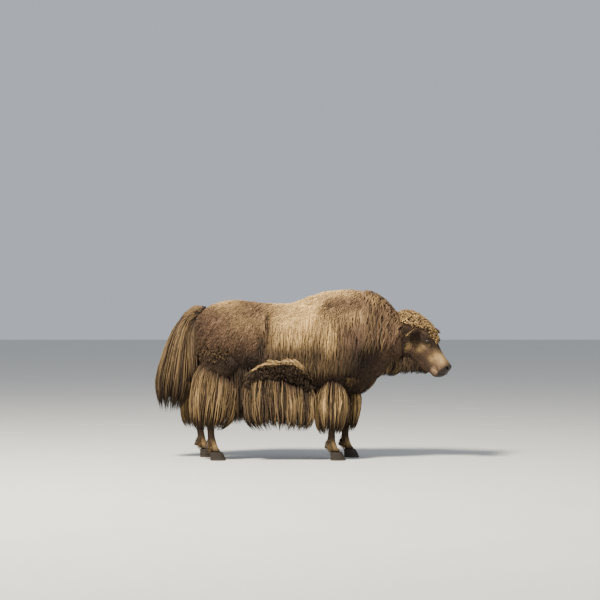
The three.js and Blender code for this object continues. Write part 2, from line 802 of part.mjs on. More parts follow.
// Forelock: rows of clumps over the poll and forehead, largest in the middle.
// Each row: how far along the head, how many clumps, and the angle from the side of the outermost.
const FORELOCK_ROWS = [
  [-34, 4, 0.2],
  [26, 5, 0.12],
  [86, 5, 0.12],
  [144, 4, 0.4],
  [200, 4, 0.6],
  [254, 3, 0.8],
  [290, 2, 1.05],
];
const CLUMP_RADIUS = 40;
const WOOL = { u: 112, v: -6, radii: [168, 104, 72] }; // the dense wool under the clumps
function forelockClumps() {
  return FORELOCK_ROWS.flatMap(([u, count, outermost]) =>
    Array.from({ length: count }, (_, i) => {
      const share = (i + 0.5 + spread(0.12)) / count;
      const angle = outermost + (Math.PI - 2 * outermost) * share;
      const place = u + spread(9);
      const middleness = Math.sin(angle) ** 2;
      const radius = CLUMP_RADIUS * (0.84 + 0.24 * middleness + spread(0.1));
      const centre = headSkin(place, angle, radius * (0.08 + 0.34 * middleness));
      const facing = headSkin(place, angle, 20).sub(headSkin(place, angle, 0)).normalize();
      return { centre, radius, facing };
    }),
  );
}

// The roll along the top of a skirt: a row of clumps on the flank, highest in its middle.
function rollClumps(side) {
  return Array.from({ length: ROLL.count }, (_, i) => {
    const x = ROLL.from + ((ROLL.to - ROLL.from) * (i + spread(0.15))) / (ROLL.count - 1);
    const z = ROLL.crest - ROLL.drop * ((x - ROLL.middle) / ROLL.reach) ** 2 - ROLL.radius + spread(8);
    const row = rowAt(TRUNK, x);
    const angle = Math.asin(THREE.MathUtils.clamp((z - row[3]) / (row[3] - row[2]), -1, 1));
    const centre = trunkPoint(x, side > 0 ? angle : Math.PI - angle, 4);
    return { centre, radius: ROLL.radius * (1 + spread(0.2)), facing: new THREE.Vector3(0, side, 0) };
  });
}

// Every node's hair: a core half way to the tips, and its locks and clumps.
const skirtPlace = (side) => ({ side, square: SKIRT_SQUARE });
const HAIR = {
  head: {
    core: (grow) => [
      column(shortened(BEARD, CORE_REACH), { grow, rings: 4, sides: 8 }),
      ball(headPoint(WOOL.u, WOOL.v, 0), WOOL.radii.map((radius) => radius + grow), headSpin, 8, 6),
    ],
    locks: locksRound(hangingSkin(BEARD, {}), BEARD_ROWS),
    clumps: forelockClumps(),
  },
  neck: {
    core: (grow) => [column(shortened(THROAT, CORE_REACH), { grow, rings: 4, sides: 8 })],
    locks: [
      ...locksRound(hangingSkin(THROAT, {}), THROAT_ROWS),
      ...mane.filter(({ x, row }) => x > NAPE - row * 8),
    ],
  },
  torso: {
    core: (grow) => [column(shortened(BRISKET, CORE_REACH), { grow, rings: 4, sides: 8 })],
    locks: [
      ...locksRound(hangingSkin(BRISKET, {}), BRISKET_ROWS),
      ...mane.filter(({ x, row }) => x <= NAPE - row * 8 && row === 0),
    ],
  },
  tail: { core: (grow) => [tailForm(CORE_REACH, grow)], locks: locksRound(tailSkin, TAIL_ROWS) },
};
SIDES.forEach(([name, side]) => {
  const fore = { ...FEET[`fore_${name}`], side };
  const hind = { ...FEET[`hind_${name}`], side };
  const hanging = (table, place, rows, sides) => ({
    core: (grow) => [column(shortened(table, CORE_REACH), { ...place, grow, rings: 5, sides })],
    locks: locksRound(hangingSkin(table, place), rows),
  });
  HAIR[`foreleg_${name}`] = hanging(BELL, fore, BELL_ROWS, 10);
  HAIR[`hindleg_${name}`] = hanging(BREECHES, hind, BREECHES_ROWS, 10);
  HAIR[`flank_${name}`] = {
    ...hanging(SKIRT, skirtPlace(side), SKIRT_ROWS, 12),
    clumps: rollClumps(side),
  };
});
function hairOf({ core, locks, clumps = [] }, grow) {
  return joined([
    ...core(grow),
    ...locks.map((each) => lock(each, grow)),
    ...clumps.map((each) => clump(each, grow)),
  ]);
}

// Each node is its flesh with its hair, less the hair that would cross another node.
const ORDER = [
  "foreleg_left", "foreleg_right", "hindleg_left", "hindleg_right", "tail",
  "head", "neck", "flank_left", "flank_right", "torso",
];
const facial = SIDES.flatMap(([, side]) => [lids(side, GAP), earSolid(side, GAP, false)]);
const earlier = [];
ORDER.forEach((name) => {
  const others = ORDER.filter((other) => other !== name && fatFlesh[other]);
  let own = without(hairOf(HAIR[name], 0), [...others.map((other) => fatFlesh[other]), ...earlier]);
  if (name === "head" || name === "neck") own = without(own, facial);
  let node = flesh[name] ? flesh[name].add(own) : own;
  if (name === "torso") node = node.subtract(hairOf(HAIR.tail, GAP));
  earlier.push(hairOf(HAIR[name], GAP * 1.5));
  finished(name, largest(node), "coat");
});

// The origin is on the floor under the middle of the whole.
const middle = new THREE.Box3().setFromObject(yak).getCenter(new THREE.Vector3());
yak.position.set(-middle.x, -middle.y, 0);

export default yak;
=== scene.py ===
# A hornless domestic yak bull at life size, standing, as a still museum model.
# Each piece is worked out in the animal's own millimetres (+X forward, +Y its left, +Z up from the floor)
# and set into the frame's metres by placed().

import math

import bpy
import numpy as np
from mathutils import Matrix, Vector


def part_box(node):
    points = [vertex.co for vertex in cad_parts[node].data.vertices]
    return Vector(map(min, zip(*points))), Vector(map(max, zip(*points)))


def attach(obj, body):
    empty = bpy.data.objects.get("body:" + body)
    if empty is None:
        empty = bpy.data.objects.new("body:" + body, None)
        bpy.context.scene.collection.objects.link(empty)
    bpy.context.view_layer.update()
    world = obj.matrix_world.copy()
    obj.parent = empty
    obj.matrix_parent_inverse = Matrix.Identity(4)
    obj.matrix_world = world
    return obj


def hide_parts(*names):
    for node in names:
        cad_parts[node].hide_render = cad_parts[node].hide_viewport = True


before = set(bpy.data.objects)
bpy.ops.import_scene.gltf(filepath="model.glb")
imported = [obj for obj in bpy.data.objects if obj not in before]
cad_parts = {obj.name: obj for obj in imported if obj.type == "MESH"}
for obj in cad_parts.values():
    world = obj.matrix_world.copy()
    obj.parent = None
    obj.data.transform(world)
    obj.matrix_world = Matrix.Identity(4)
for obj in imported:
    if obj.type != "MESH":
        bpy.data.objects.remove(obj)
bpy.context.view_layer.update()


# Trunk and legs
# Flesh under the coat: the trunk and neck are a lofted barrel with swells for muscle and bone, and each
# leg is a column that sinks into it. They lie under the tips of the coat by the coat's depth.

# Columns: x, top, underside, height of the widest line, half width, shift sideways, sharpness of ridge.
TRUNK = np.array([
    [-872, 1085, 850, 970, 55, 0, 1.0],
    [-852, 1150, 790, 970, 150, 0, 1.0],
    [-797, 1216, 735, 970, 216, 0, 1.0],
    [-716, 1260, 690, 965, 252, 0, 1.0],
    [-595, 1289, 640, 955, 272, 0, 1.0],
    [-473, 1286, 595, 925, 276, 0, 1.0],
    [-336, 1272, 555, 880, 292, 0, 1.0],
    [-190, 1264, 520, 850, 316, 0, 1.0],
    [-85, 1272, 505, 842, 326, 0, 1.05],
    [12, 1308, 500, 848, 324, 0, 1.15],
    [133, 1350, 500, 860, 310, 0, 1.25],
    [255, 1371, 508, 870, 298, 0, 1.3],
    [376, 1379, 522, 880, 284, 0, 1.35],
    [473, 1371, 552, 890, 258, 0, 1.35],
    [578, 1342, 625, 900, 220, 0, 1.3],
    [659, 1292, 690, 915, 188, -4, 1.25],
    [716, 1232, 738, 935, 166, -12, 1.2],
    [762, 1176, 778, 950, 150, -22, 1.1],
    [812, 1130, 815, 960, 128, -34, 1.0],
    [862, 1060, 870, 960, 70, -46, 1.0],
])
# Columns: x, z, reach along x, reach along z, swell.
SWELLS = [
    [-640, 1000, 150, 190, 26],
    [-500, 1215, 60, 50, 16],
    [330, 900, 130, 230, 24],
    [255, 1150, 90, 150, 10],
    [-330, 1130, 110, 80, -12],
    [-400, 700, 60, 110, -14],
    [520, 760, 90, 120, 14],
    [-276, 1040, 26, 190, -26],
    [-350, 1010, 60, 170, 12],
    [-270, 1150, 36, 40, -12],
    [440, 1060, 40, 150, -7],
    [100, 900, 34, 190, -9],
    [200, 980, 50, 150, 7],
]
# Columns: z, x and y from the hoof's centre, half depth, half width.
FORELEG = np.array([
    [66, -8, 0, 50, 46],
    [95, -26, 0, 40, 37],
    [135, -44, 0, 42, 38],
    [175, -46, 0, 36, 33],
    [250, -42, 0, 34, 31],
    [330, -34, 0, 42, 39],
    [375, -28, 0, 50, 45],
    [430, -30, 2, 50, 45],
    [520, -34, 6, 66, 56],
    [620, -42, 12, 88, 70],
    [700, -40, 20, 118, 84],
    [790, -16, 26, 140, 96],
])
HIND_LEG = np.array([
    [66, -8, 0, 50, 44],
    [95, -24, 0, 40, 36],
    [135, -40, 0, 42, 37],
    [175, -46, 0, 36, 32],
    [260, -54, 0, 35, 31],
    [360, -66, 0, 45, 38],
    [425, -80, 0, 60, 42],
    [480, -72, 4, 58, 46],
    [560, -48, 10, 76, 60],
    [650, -14, 18, 120, 84],
    [750, 28, 24, 166, 104],
    [850, 38, 14, 172, 98],
    [930, 44, 0, 150, 80],
])
# Where each hoof's centre stands on the floor.
FEET = {
    "fore_right": (268, -158, FORELEG),
    "fore_left": (386, 158, FORELEG),
    "hind_right": (-690, -166, HIND_LEG),
    "hind_left": (-792, 166, HIND_LEG),
}
TURN = 2 * math.pi
BODY_COAT = 15  # depth of the coat over the barrel
LEG_COAT = 4  # and over the shanks


def power(value, exponent):
    """The size of a value raised to an exponent, with the value's sign kept."""
    return np.sign(value) * np.abs(value) ** exponent


def bell(distance):
    """A bell curve: 1 at no distance, e to the minus distance squared elsewhere."""
    return np.exp(-distance * distance)


def eased(value, low, high):
    """0 below low, 1 above high, and a smooth S between them."""
    t = np.clip((value - low) / (high - low), 0, 1)
    return t * t * (3 - 2 * t)


def row_at(table, place):
    """The row of a table at places between its rows, on one smooth curve through them all:
    a cubic between two rows, whose slope at each row is that of the line between its neighbours."""
    place = np.asarray(place, float)
    i = np.clip(np.searchsorted(table[:, 0], place) - 1, 0, len(table) - 2)
    a, b = table[i], table[i + 1]
    before = table[np.maximum(i - 1, 0)]
    after = table[np.minimum(i + 2, len(table) - 1)]
    span = (b - a)[..., :1]
    t = np.clip((place[..., None] - a[..., :1]) / span, 0, 1)
    leaving = (b - before) / (b - before)[..., :1] * span
    arriving = (after - a) / (after - a)[..., :1] * span
    smooth = t * t * (3 - 2 * t)
    rows = a * (1 - smooth) + b * smooth + leaving * t * (1 - t) ** 2 - arriving * t * t * (1 - t)
    return np.moveaxis(rows, -1, 0)


def spaced(table, count):
    """Places through a table, a little closer together at both ends."""
    t = np.linspace(0, 1, count)
    first, last = table[0, 0], table[-1, 0]
    return first + (last - first) * (0.7 * t + 0.15 * (1 - np.cos(math.pi * t)))


def patches(table, x, z):
    """The sum of a table's patches at x and z: a bell across and a bell up, times each one's strength."""
    return sum(k * bell((x - px) / rx) * bell((z - pz) / rz) for px, pz, rx, rz, k in table)


def trunk_skin(place, angle, lift):
    """Trunk: at a place along it, a rounded ring whose height goes with the sine of the angle from its
    left side and whose width goes with the cosine raised to the ridge's sharpness, plus the swells."""
    x, top, low, mid, half, shift, ridge = row_at(TRUNK, place)
    across, up = np.cos(angle), np.sin(angle)
    tall = np.where(up > 0, top - mid, mid - low) + lift
    z = mid + tall * power(up, 0.95)
    wide = half + lift + patches(SWELLS, x, z) * np.minimum(1, np.abs(across) * 2)
    y = shift + wide * power(across, np.where(up > 0, ridge, 0.86))
    return np.stack([x, y, z], -1)


def column_skin(table, foot, height, angle, lift, square=1.0):
    """Column: at a height, a ring round the foot's centre line, its depth with the cosine of the angle
    from its front and its width with the sine, both raised to the power square."""
    x, y, side = foot
    z, dx, dy, deep, wide = row_at(table, height)
    east = x + dx + (deep + lift) * power(np.cos(angle), square)
    north = y + side * dy + side * (wide + lift) * power(np.sin(angle), square)
    return np.stack([east, north, z + 0 * east], -1)


def grid(places, sides, skin):
    """Rings of points, one at each place, with sides points round each."""
    place, angle = np.meshgrid(places, np.arange(sides) * TURN / sides, indexing="ij")
    return skin(place, angle)


def closed_loft(rings):
    """Points and faces of a closed surface: quads between rings and a fan to the middle of each end."""
    count, sides = rings.shape[:2]
    points = np.concatenate([rings.reshape(-1, 3), rings[[0, -1]].mean(1)])
    ring = np.arange(sides)
    after = np.roll(ring, -1)
    rows = (np.arange(count - 1) * sides)[:, None]
    quads = np.stack([rows + ring, rows + after, rows + after + sides, rows + ring + sides], -1)
    last = (count - 1) * sides
    start_fan = np.stack([np.full(sides, count * sides), after, ring], -1)
    end_fan = np.stack([np.full(sides, count * sides + 1), ring + last, after + last], -1)
    return points, quads.reshape(-1, 4), np.concatenate([start_fan, end_fan])


def lofted(places, sides, skin):
    """A closed surface through the rings of a skin."""
    return closed_loft(grid(places, sides, skin))


def leg_lift(height):
    """How far a leg's skin lies under its coat, from the shank to the thick of the leg."""
    return -LEG_COAT - (BODY_COAT - LEG_COAT) * eased(height, 420, 640)


def body_shapes():
    """The trunk and the four legs, each closed, crossing where they join."""
    shapes = [lofted(spaced(TRUNK, 120), 140, lambda s, a: trunk_skin(s, a, -BODY_COAT))]
    for x, y, table in FEET.values():
        foot = (x, y, math.copysign(1, y))
        leg = lofted(spaced(table, 70), 40, lambda s, a: column_skin(table, foot, s, a, leg_lift(s)))
        shapes.append(leg)
    return shapes


# Head
# Flesh and bone from the poll to the nose: a lofted form of its own, pushed into hollows and bumps, with
# nostrils and a line of mouth sunk in it. Its rear end lies inside the neck.

# Its own directions are along to the muzzle, out to the animal's left, and up from the face.
POLL = np.array([866, -44, 1165])
HEAD_PITCH = math.radians(49)
HEAD_YAW = math.radians(22)
ALONG = np.array([
    math.cos(HEAD_PITCH) * math.cos(HEAD_YAW),
    -math.cos(HEAD_PITCH) * math.sin(HEAD_YAW),
    -math.sin(HEAD_PITCH),
])
OUT = np.array([math.sin(HEAD_YAW), math.cos(HEAD_YAW), 0])
UP = np.cross(ALONG, OUT)
# Columns: distance along, top, underside, height of the widest line, half width.
HEAD = np.array([
    [-72, -50, -140, -95, 46],
    [-40, -14, -170, -92, 88],
    [20, 20, -205, -94, 112],
    [90, 42, -246, -98, 126],
    [155, 52, -274, -102, 132],
    [225, 48, -280, -104, 130],
    [285, 32, -266, -104, 118],
    [345, 13, -242, -104, 101],
    [400, 1, -216, -100, 89],
    [450, -5, -192, -96, 84],
    [492, -8, -178, -93, 86],
    [522, -14, -166, -92, 79],
    [541, -30, -148, -92, 60],
    [551, -56, -126, -94, 32],
])
# Hollows and bumps of the face, mirrored to both sides.
# Columns: distance along, height, distance out, the three reaches, and the push along, up and out.
FACE = [
    [264, -6, 118, 46, 40, 60, 0, 0, 12],
    [190, -170, 124, 70, 70, 60, 0, 0, 10],
    [505, -40, 78, 28, 26, 40, 0, 0, 9],
    [500, -96, 80, 24, 20, 40, 0, 0, 5],
    [262, 24, 92, 36, 14, 26, 0, 6, 10],
    [284, -48, 112, 42, 16, 30, 0, 0, -8],
    [330, -72, 100, 60, 20, 30, 0, 0, 8],
    [250, -110, 124, 60, 30, 40, 0, 0, -6],
    [380, -44, 84, 50, 30, 30, 0, 0, -7],
    [416, -118, 84, 40, 30, 30, 0, 0, -8],
    [350, -206, 70, 70, 24, 40, 0, 0, -6],
    [140, -60, 128, 40, 30, 40, 0, 0, -6],
    [528, -22, 46, 14, 14, 18, 5, 6, 3],
    [512, -134, 66, 20, 12, 34, 0, 0, 5],
    [510, -88, 72, 26, 9, 34, 0, 0, 5],
    [500, -166, 30, 28, 14, 40, 4, -6, 3],
    [548, -96, 20, 10, 14, 30, 5, 0, 0],
]
HEAD_COAT = 5  # depth of the short hair on the face
EYE = (276, -14, 97)
EYE_RADIUS = 18


def head_point(u, v, w):
    """A point of the head from its distance along, its height and its distance out."""
    return POLL + np.multiply.outer(u, ALONG) + np.multiply.outer(v, UP) + np.multiply.outer(w, OUT)


def head_skin(place, angle, lift):
    """Head, in its own three distances: a rounded ring at each place, as on the trunk."""
    u, top, low, mid, half = row_at(HEAD, place)
    across, up = np.cos(angle), np.sin(angle)
    tall = np.where(up > 0, top - mid, mid - low) + lift
    v = mid + tall * power(up, 0.85)
    w = (half + lift) * power(across, np.where(up > 0, 0.8, 0.95))
    return u, v, w


def sculpted(u, v, w):
    """The face pushed by bells: each hollow or bump fades with the square of the distance from it."""
    side = np.where(w < 0, -1.0, 1.0)
    away = np.abs(w)
    pushed_u, pushed_v, pushed_w = u + 0, v + 0, away + 0
    for su, sv, sw, ru, rv, rw, du, dv, dw in FACE:
        near = bell((u - su) / ru) * bell((v - sv) / rv) * bell((away - sw) / rw)
        pushed_u = pushed_u + du * near
        pushed_v = pushed_v + dv * near
        pushed_w = pushed_w + dw * near * np.minimum(1, away / 20)
    return pushed_u, pushed_v, side * pushed_w


# Nostril: a comma-shaped hole in each side of the nose, and the line of the mouth round the muzzle.
NOSTRIL = (528, -40, 42)
NOSTRIL_LONG = 20
NOSTRIL_WIDE = 9
NOSTRIL_SLANT = 0.5
NOSTRIL_DEPTH = 24
MOUTH_FROM = 440
MOUTH_HEIGHT = -112
MOUTH_SLOPE = 0.16
MOUTH_DEPTH = 8
MOUTH_WIDTH = 3.2
MUZZLE_AXIS = -92  # height of the middle of the muzzle


def opened(u, v, w):
    """The skin sunk along the head and inwards in each nostril's slanted oval, and raised at its rim, and
    sunk towards the muzzle's axis by a bell across the mouth's line."""
    away = np.abs(w)
    nu, nv, nw = NOSTRIL
    slant = (away - nw) * math.cos(NOSTRIL_SLANT) - (u - nu) * math.sin(NOSTRIL_SLANT)
    across = (v - nv) - 0.35 * (away - nw)
    reach = np.hypot(slant / NOSTRIL_LONG, across / NOSTRIL_WIDE) + np.maximum(0, nu - 26 - u) / 10
    hole = 1 - eased(reach, 0.55, 1.05)
    rim = bell((reach - 1.25) / 0.3)
    line = MOUTH_HEIGHT + MOUTH_SLOPE * (u - 515) + 5 * np.sin((u - 470) / 24) * (u < 520)
    lips = bell((v - line) / MOUTH_WIDTH) * eased(u, MOUTH_FROM, MOUTH_FROM + 18)
    length = np.hypot(v - MUZZLE_AXIS, w) + 1e-6
    sink = MOUTH_DEPTH * lips / length
    v = v - sink * (v - MUZZLE_AXIS) * 0.3
    w = w - sink * w - np.sign(w) * (hole * NOSTRIL_DEPTH * 0.3 - rim * 2.0)
    u = u - lips * eased(u, 530, 548) * 7 - hole * NOSTRIL_DEPTH * 0.85 + rim * 1.6
    return u, v, w


WOOL_BED = 13


def wool_bed(place, angle):
    """How far the hide is raised under its wool: all over the poll and forehead, easing out to nothing
    at the wool's lower edge and at both its ends."""
    low_edge = 0.2 + 0.7 * eased(place, 10, 250)
    high = eased(np.sin(angle), low_edge, low_edge + 0.12)
    return WOOL_BED * high * eased(place, -66, -20) * (1 - eased(place, 284, 310))


# Ears
# Thin leaves of gristle and skin, each rolled into a cup that opens forwards, its root sunk in the side
# of the poll. The left ear is held forward, and the right one hangs a little.

EAR = (158, -18, 96)
# From root to tip, along the head, up and out.
EAR_REACH = {1: (62, 50, 126), -1: (0, -36, 124)}
# Columns: share of the length, half width, half thickness.
EAR_SIZES = np.array([
    [0, 24, 20],
    [0.15, 27, 16],
    [0.3, 33, 7],
    [0.5, 37, 4],
    [0.75, 28, 3.2],
    [0.92, 16, 3],
    [1, 5, 2.5],
])
EAR_CUP = 17  # how deep the cup is


def ear_frame(side):
    """The ear's root, its length, and its directions: to the tip, across, and to its open face."""
    along, up, out = EAR_REACH[side]
    root = head_point(EAR[0], EAR[1], side * EAR[2])
    tip = head_point(EAR[0] + along, EAR[1] + up, side * (EAR[2] + out))
    length = np.linalg.norm(tip - root)
    tipward = (tip - root) / length
    wide = UP - tipward * (UP @ tipward)
    wide = wide / np.linalg.norm(wide)
    front = np.cross(tipward, wide) * -side
    return root, length, tipward, wide, front


def ear_skin(t, angle, side):
    """Ear: at a share of its length, a flat ring with its middle sunk back and its edges curled forward,
    by the square of the distance across, most at half its length."""
    root, length, tipward, wide, front = ear_frame(side)
    _, half, thick = row_at(EAR_SIZES, t)
    across, face = np.cos(angle), np.sin(angle)
    cup = np.sin(math.pi * np.clip(t, 0, 1)) * EAR_CUP
    ahead = cup * (1.6 * across**2 - 0.8) + thick * face
    return (
        root
        + (length * t)[..., None] * tipward
        + (half * across)[..., None] * wide
        + ahead[..., None] * front
    )


# Eyelids
# A soft ring of skin round each eye, folded over, its outer edge under the skin and its inner edge on
# the ball. Both rings are joined to the skin's mesh.

LID_LONG = 16.5
LID_HIGH = 9.5
LID_LOW = 8.0


def lid_skin(t, angle, side):
    """Lid: from t = 0, under the skin round the socket, over a fold, to t = 1, the almond on the ball.
    Its height above the ball's centre is that of a sphere, plus a bump half way."""
    spread = 1 + 0.95 * (1 - t) ** 1.2
    tall = np.where(np.sin(angle) > 0, LID_HIGH, LID_LOW)
    along = LID_LONG * np.cos(angle) * spread
    high = tall * power(np.sin(angle), 1.15) * spread * (1 + 0.25 * (1 - t))
    reach = along**2 + high**2
    ball = np.sqrt(np.maximum((EYE_RADIUS + 0.8) ** 2 - reach, 0))
    fold = 3.2 * np.sin(math.pi * t) ** 2 + 1.2 * np.sin(math.pi * np.clip(t * 3 - 1.6, 0, 1))
    rise = ball * eased(t, 0.1, 0.85) + (1 - eased(t, 0, 0.7)) * -6 + fold
    return head_point(EYE[0] + along, EYE[1] + high, side * (EYE[2] + rise))


def lid_shapes():
    """Both eyes' rings of lid, closed behind by a sheet that the ball hides."""
    shapes = []
    for side in (-1, 1):
        rings = grid(np.linspace(0, 1, 16), 48, lambda s, a: lid_skin(s, a, side))
        back = rings[-1:] - (side * OUT) * 5
        shapes.append(closed_loft(np.concatenate([rings, back])))
    return shapes


# One skin
# Trunk, legs, head and ears are one closed hide: the first two are fused by a fine voxel remesh, the head
# joins them by a union so that its face stays sharp, and the seam at the nape is smoothed.

SKIN_VOXEL = 0.0105
eye_low, eye_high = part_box("eye_right")
# From the animal's zero to the frame's, by where the frame has the right eye.
SHIFT = np.array((eye_low + eye_high) / 2) - head_point(EYE[0], EYE[1], -EYE[2]) * 0.001


def placed(points):
    """Points in the animal's own millimetres as metres of the frame."""
    return points * 0.001 + SHIFT


def mesh_of(name, points, quads, triangles):
    """A smooth mesh from whole arrays of points, quads and triangles."""
    mesh = bpy.data.meshes.new(name)
    corners = np.concatenate([quads.ravel(), triangles.ravel()])
    starts = np.concatenate([np.arange(len(quads)) * 4, quads.size + np.arange(len(triangles)) * 3])
    mesh.vertices.add(len(points))
    mesh.vertices.foreach_set("co", points.astype(np.float32).ravel())
    mesh.loops.add(len(corners))
    mesh.loops.foreach_set("vertex_index", corners.astype(np.int32))
    mesh.polygons.add(len(starts))
    mesh.polygons.foreach_set("loop_start", starts.astype(np.int32))
    mesh.update(calc_edges=True)
    mesh.shade_smooth()
    return mesh


def shown(name, mesh):
    """An object of a mesh, at the origin of the scene."""
    piece = bpy.data.objects.new(name, mesh)
    bpy.context.scene.collection.objects.link(piece)
    return piece


def solid(name, shapes):
    """A piece of closed surfaces, each turned to face outwards, so that its volume counts as positive."""
    points, quads, triangles, total = [], [], [], 0
    for spots, fours, threes in shapes:
        corners = np.concatenate([fours[:, [0, 1, 2]], fours[:, [0, 2, 3]], threes])
        a, b, c = spots[corners[:, 0]], spots[corners[:, 1]], spots[corners[:, 2]]
        if np.einsum("ij,ij->i", a, np.cross(b, c)).sum() < 0:
            fours, threes = fours[:, ::-1], threes[:, ::-1]
        points.append(spots)
        quads.append(fours + total)
        triangles.append(threes + total)
        total += len(spots)
    points = placed(np.concatenate(points))
    return shown(name, mesh_of(name, points, np.concatenate(quads), np.concatenate(triangles)))


def head_shapes():
    """The head with its nostrils and mouth, and both ears sunk into it."""
    t = np.linspace(0, 1, 190)
    places = HEAD[0, 0] + (HEAD[-1, 0] - HEAD[0, 0]) * (0.72 * t + 0.28 * np.sin(t * math.pi / 2))
    shapes = [lofted(
        places, 176,
        lambda s, a: head_point(*opened(*sculpted(*head_skin(s, a, wool_bed(s, a) - HEAD_COAT)))),
    )]
    for side in (-1, 1):
        shapes.append(lofted(np.linspace(0, 1, 34), 36, lambda s, a: ear_skin(s, a, side)))
    return shapes


def evaluated_mesh(piece):
    """A copy of a piece's mesh with its modifiers taken in."""
    graph = bpy.context.evaluated_depsgraph_get()
    return bpy.data.meshes.new_from_object(piece.evaluated_get(graph))


def read_out(items, name, width, kind=float):
    """One property of all items of a mesh, as the rows of an array."""
    values = np.empty(len(items) * width, kind)
    items.foreach_get(name, values)
    return values.reshape(-1, width)


def smoothed_near(mesh, centre, reach, rounds):
    """Points near a place drawn to the mean of their neighbours, again and again, less so further off."""
    points = read_out(mesh.vertices, "co", 3)
    a, b = read_out(mesh.edges, "vertices", 2, int).T
    share = 0.5 * bell(np.abs((points - centre) @ reach))[:, None]
    joins = np.maximum(np.bincount(np.concatenate([a, b]), minlength=len(points)), 1)[:, None]
    for _ in range(rounds):
        sums = np.stack([
            np.bincount(a, points[b, k], len(points)) + np.bincount(b, points[a, k], len(points))
            for k in range(3)
        ], -1)
        points = points + (sums / joins - points) * share
    mesh.vertices.foreach_set("co", points.astype(np.float32).ravel())
    mesh.update()


body = solid("body", body_shapes())
remesh = body.modifiers.new("one_surface", "REMESH")
remesh.mode = "VOXEL"
remesh.voxel_size = SKIN_VOXEL
remesh.use_smooth_shade = True
soften = body.modifiers.new("soften", "SMOOTH")
soften.factor = 0.6
soften.iterations = 8
head = solid("head_form", head_shapes())
union = body.modifiers.new("union", "BOOLEAN")
union.operation = "UNION"
union.solver = "MANIFOLD"
union.object = head
skin_mesh = evaluated_mesh(body)
bpy.data.objects.remove(body)
bpy.data.objects.remove(head)
NAPE = placed(np.array([815, -40, 1000]))
smoothed_near(skin_mesh, NAPE, np.array([1, 0, -0.15]) / 0.045, 14)


# Colour of the coat
# Darker low down, brown over the body, and tan to gold where the hair is bleached and where painted
# light falls, with painted shade in hollows, creases and the depth of the hair: the same markings colour
# the skin and every lock.

HAIR_DARK = (0.014, 0.010, 0.008, 1)
HAIR_BROWN = (0.152, 0.089, 0.053, 1)
HAIR_TAN = (0.830, 0.555, 0.230, 1)
NOSE_COLOUR = (0.030, 0.022, 0.020, 1)
LIP_COLOUR = (0.20, 0.125, 0.082, 1)
# Patches of sun-bleached hair and of painted light on the hump, back, barrel, shoulder and rump, where
# the light falls. Columns: x, z, reach along x, reach along z, how much lighter.
BLEACHED_AND_LIT = [
    [-70, 1090, 190, 180, 0.72],
    [-110, 950, 130, 60, 0.30],
    [85, 1200, 90, 140, 0.68],
    [230, 1350, 200, 44, 0.80],
    [-120, 1270, 180, 50, 0.40],
    [210, 970, 50, 130, 0.62],
    [-610, 1262, 130, 60, 0.44],
    [-480, 1120, 110, 90, 0.16],
    [380, 1150, 130, 80, 0.26],
    [600, 1290, 90, 40, 0.34],
    [760, 1090, 30, 70, 0.12],
    [905, 1120, 60, 60, 0.12],
]
# Columns: x, z, reach along x, reach along z, darkening.
SHADED = [
    [205, 1240, 50, 46, 0.40],
    [160, 1180, 40, 40, 0.20],
    [-272, 1150, 24, 24, 0.75],
    [-284, 1060, 18, 90, 0.80],
    [-330, 930, 26, 90, 0.80],
    [-400, 780, 50, 60, 0.60],
    [-345, 1212, 40, 24, 0.30],
    [520, 860, 140, 120, 0.65],
    [-510, 790, 150, 110, 0.60],
    [-700, 820, 120, 80, 0.50],
    [-80, 790, 330, 110, 0.80],
    [690, 1330, 60, 44, 0.60],
    [-830, 1060, 60, 140, 0.40],
    [400, 740, 130, 110, 0.50],
    [812, 980, 44, 190, 0.85],
]
# On the head: painted shade round the eye and ear under the wool's edge, on the forehead under the wool,
# behind the jaw and at the chin; darker on the jaw and lower cheeks; a pale spot at the lower lid, tan
# patches on the cheek and muzzle, and pale lips. Columns: distance along, height, reach along, reach up,
# darkening, lightening.
FACE_MARKS = [
    [270, -6, 56, 30, 0.80, 0],
    [220, -30, 60, 40, 0.70, 0],
    [301, -19, 9, 8, -0.40, 0.30],
    [282, -88, 26, 30, 0, 0.34],
    [214, -150, 20, 44, 0, 0.32],
    [130, -120, 70, 110, 0.70, 0],
    [270, -210, 120, 60, 0.70, 0],
    [340, -130, 50, 40, 0.50, 0],
    [425, -140, 50, 34, 0.50, 0],
    [436, -30, 56, 36, 0, 0.44],
    [400, -84, 26, 20, 0, 0.24],
    [488, -118, 26, 12, 0, 0.36],
    [350, 4, 36, 30, 0.50, 0],
    [500, -165, 60, 24, 0.70, 0],
]


def head_place(points):
    """Distance along the head, height and distance out of points in the animal's millimetres."""
    away = points - POLL
    return away @ ALONG, away @ UP, away @ OUT


def markings(points):
    """Two shares for points of the animal: tone, from dark to brown, rises with height, and sun, from
    brown to tan, is the sum of the bells of bleached hair and painted light. Both sink in the patches of
    painted shade."""
    x, _, z = np.moveaxis(points, -1, 0)
    u, v, _ = head_place(points)
    near_head = eased(x, 810, 860)
    face = [
        (near_head * bell((u - pu) / ru) * bell((v - pv) / rv), k, s)
        for pu, pv, ru, rv, k, s in FACE_MARKS
    ]
    lit = 1 - np.clip(patches(SHADED, x, z) + sum(near * k for near, k, _ in face), 0, 0.78)
    tone = (0.16 + 0.74 * eased(z, 560, 1120) * (1 - near_head) + 0.40 * near_head) * lit
    sun = patches(BLEACHED_AND_LIT, x, z) * lit * lit + sum(near * s for near, _, s in face)
    sun = sun + bell((z - 120) / 30) * 0.25
    return np.clip(tone, 0.06, 1), np.clip(sun, 0, 1)


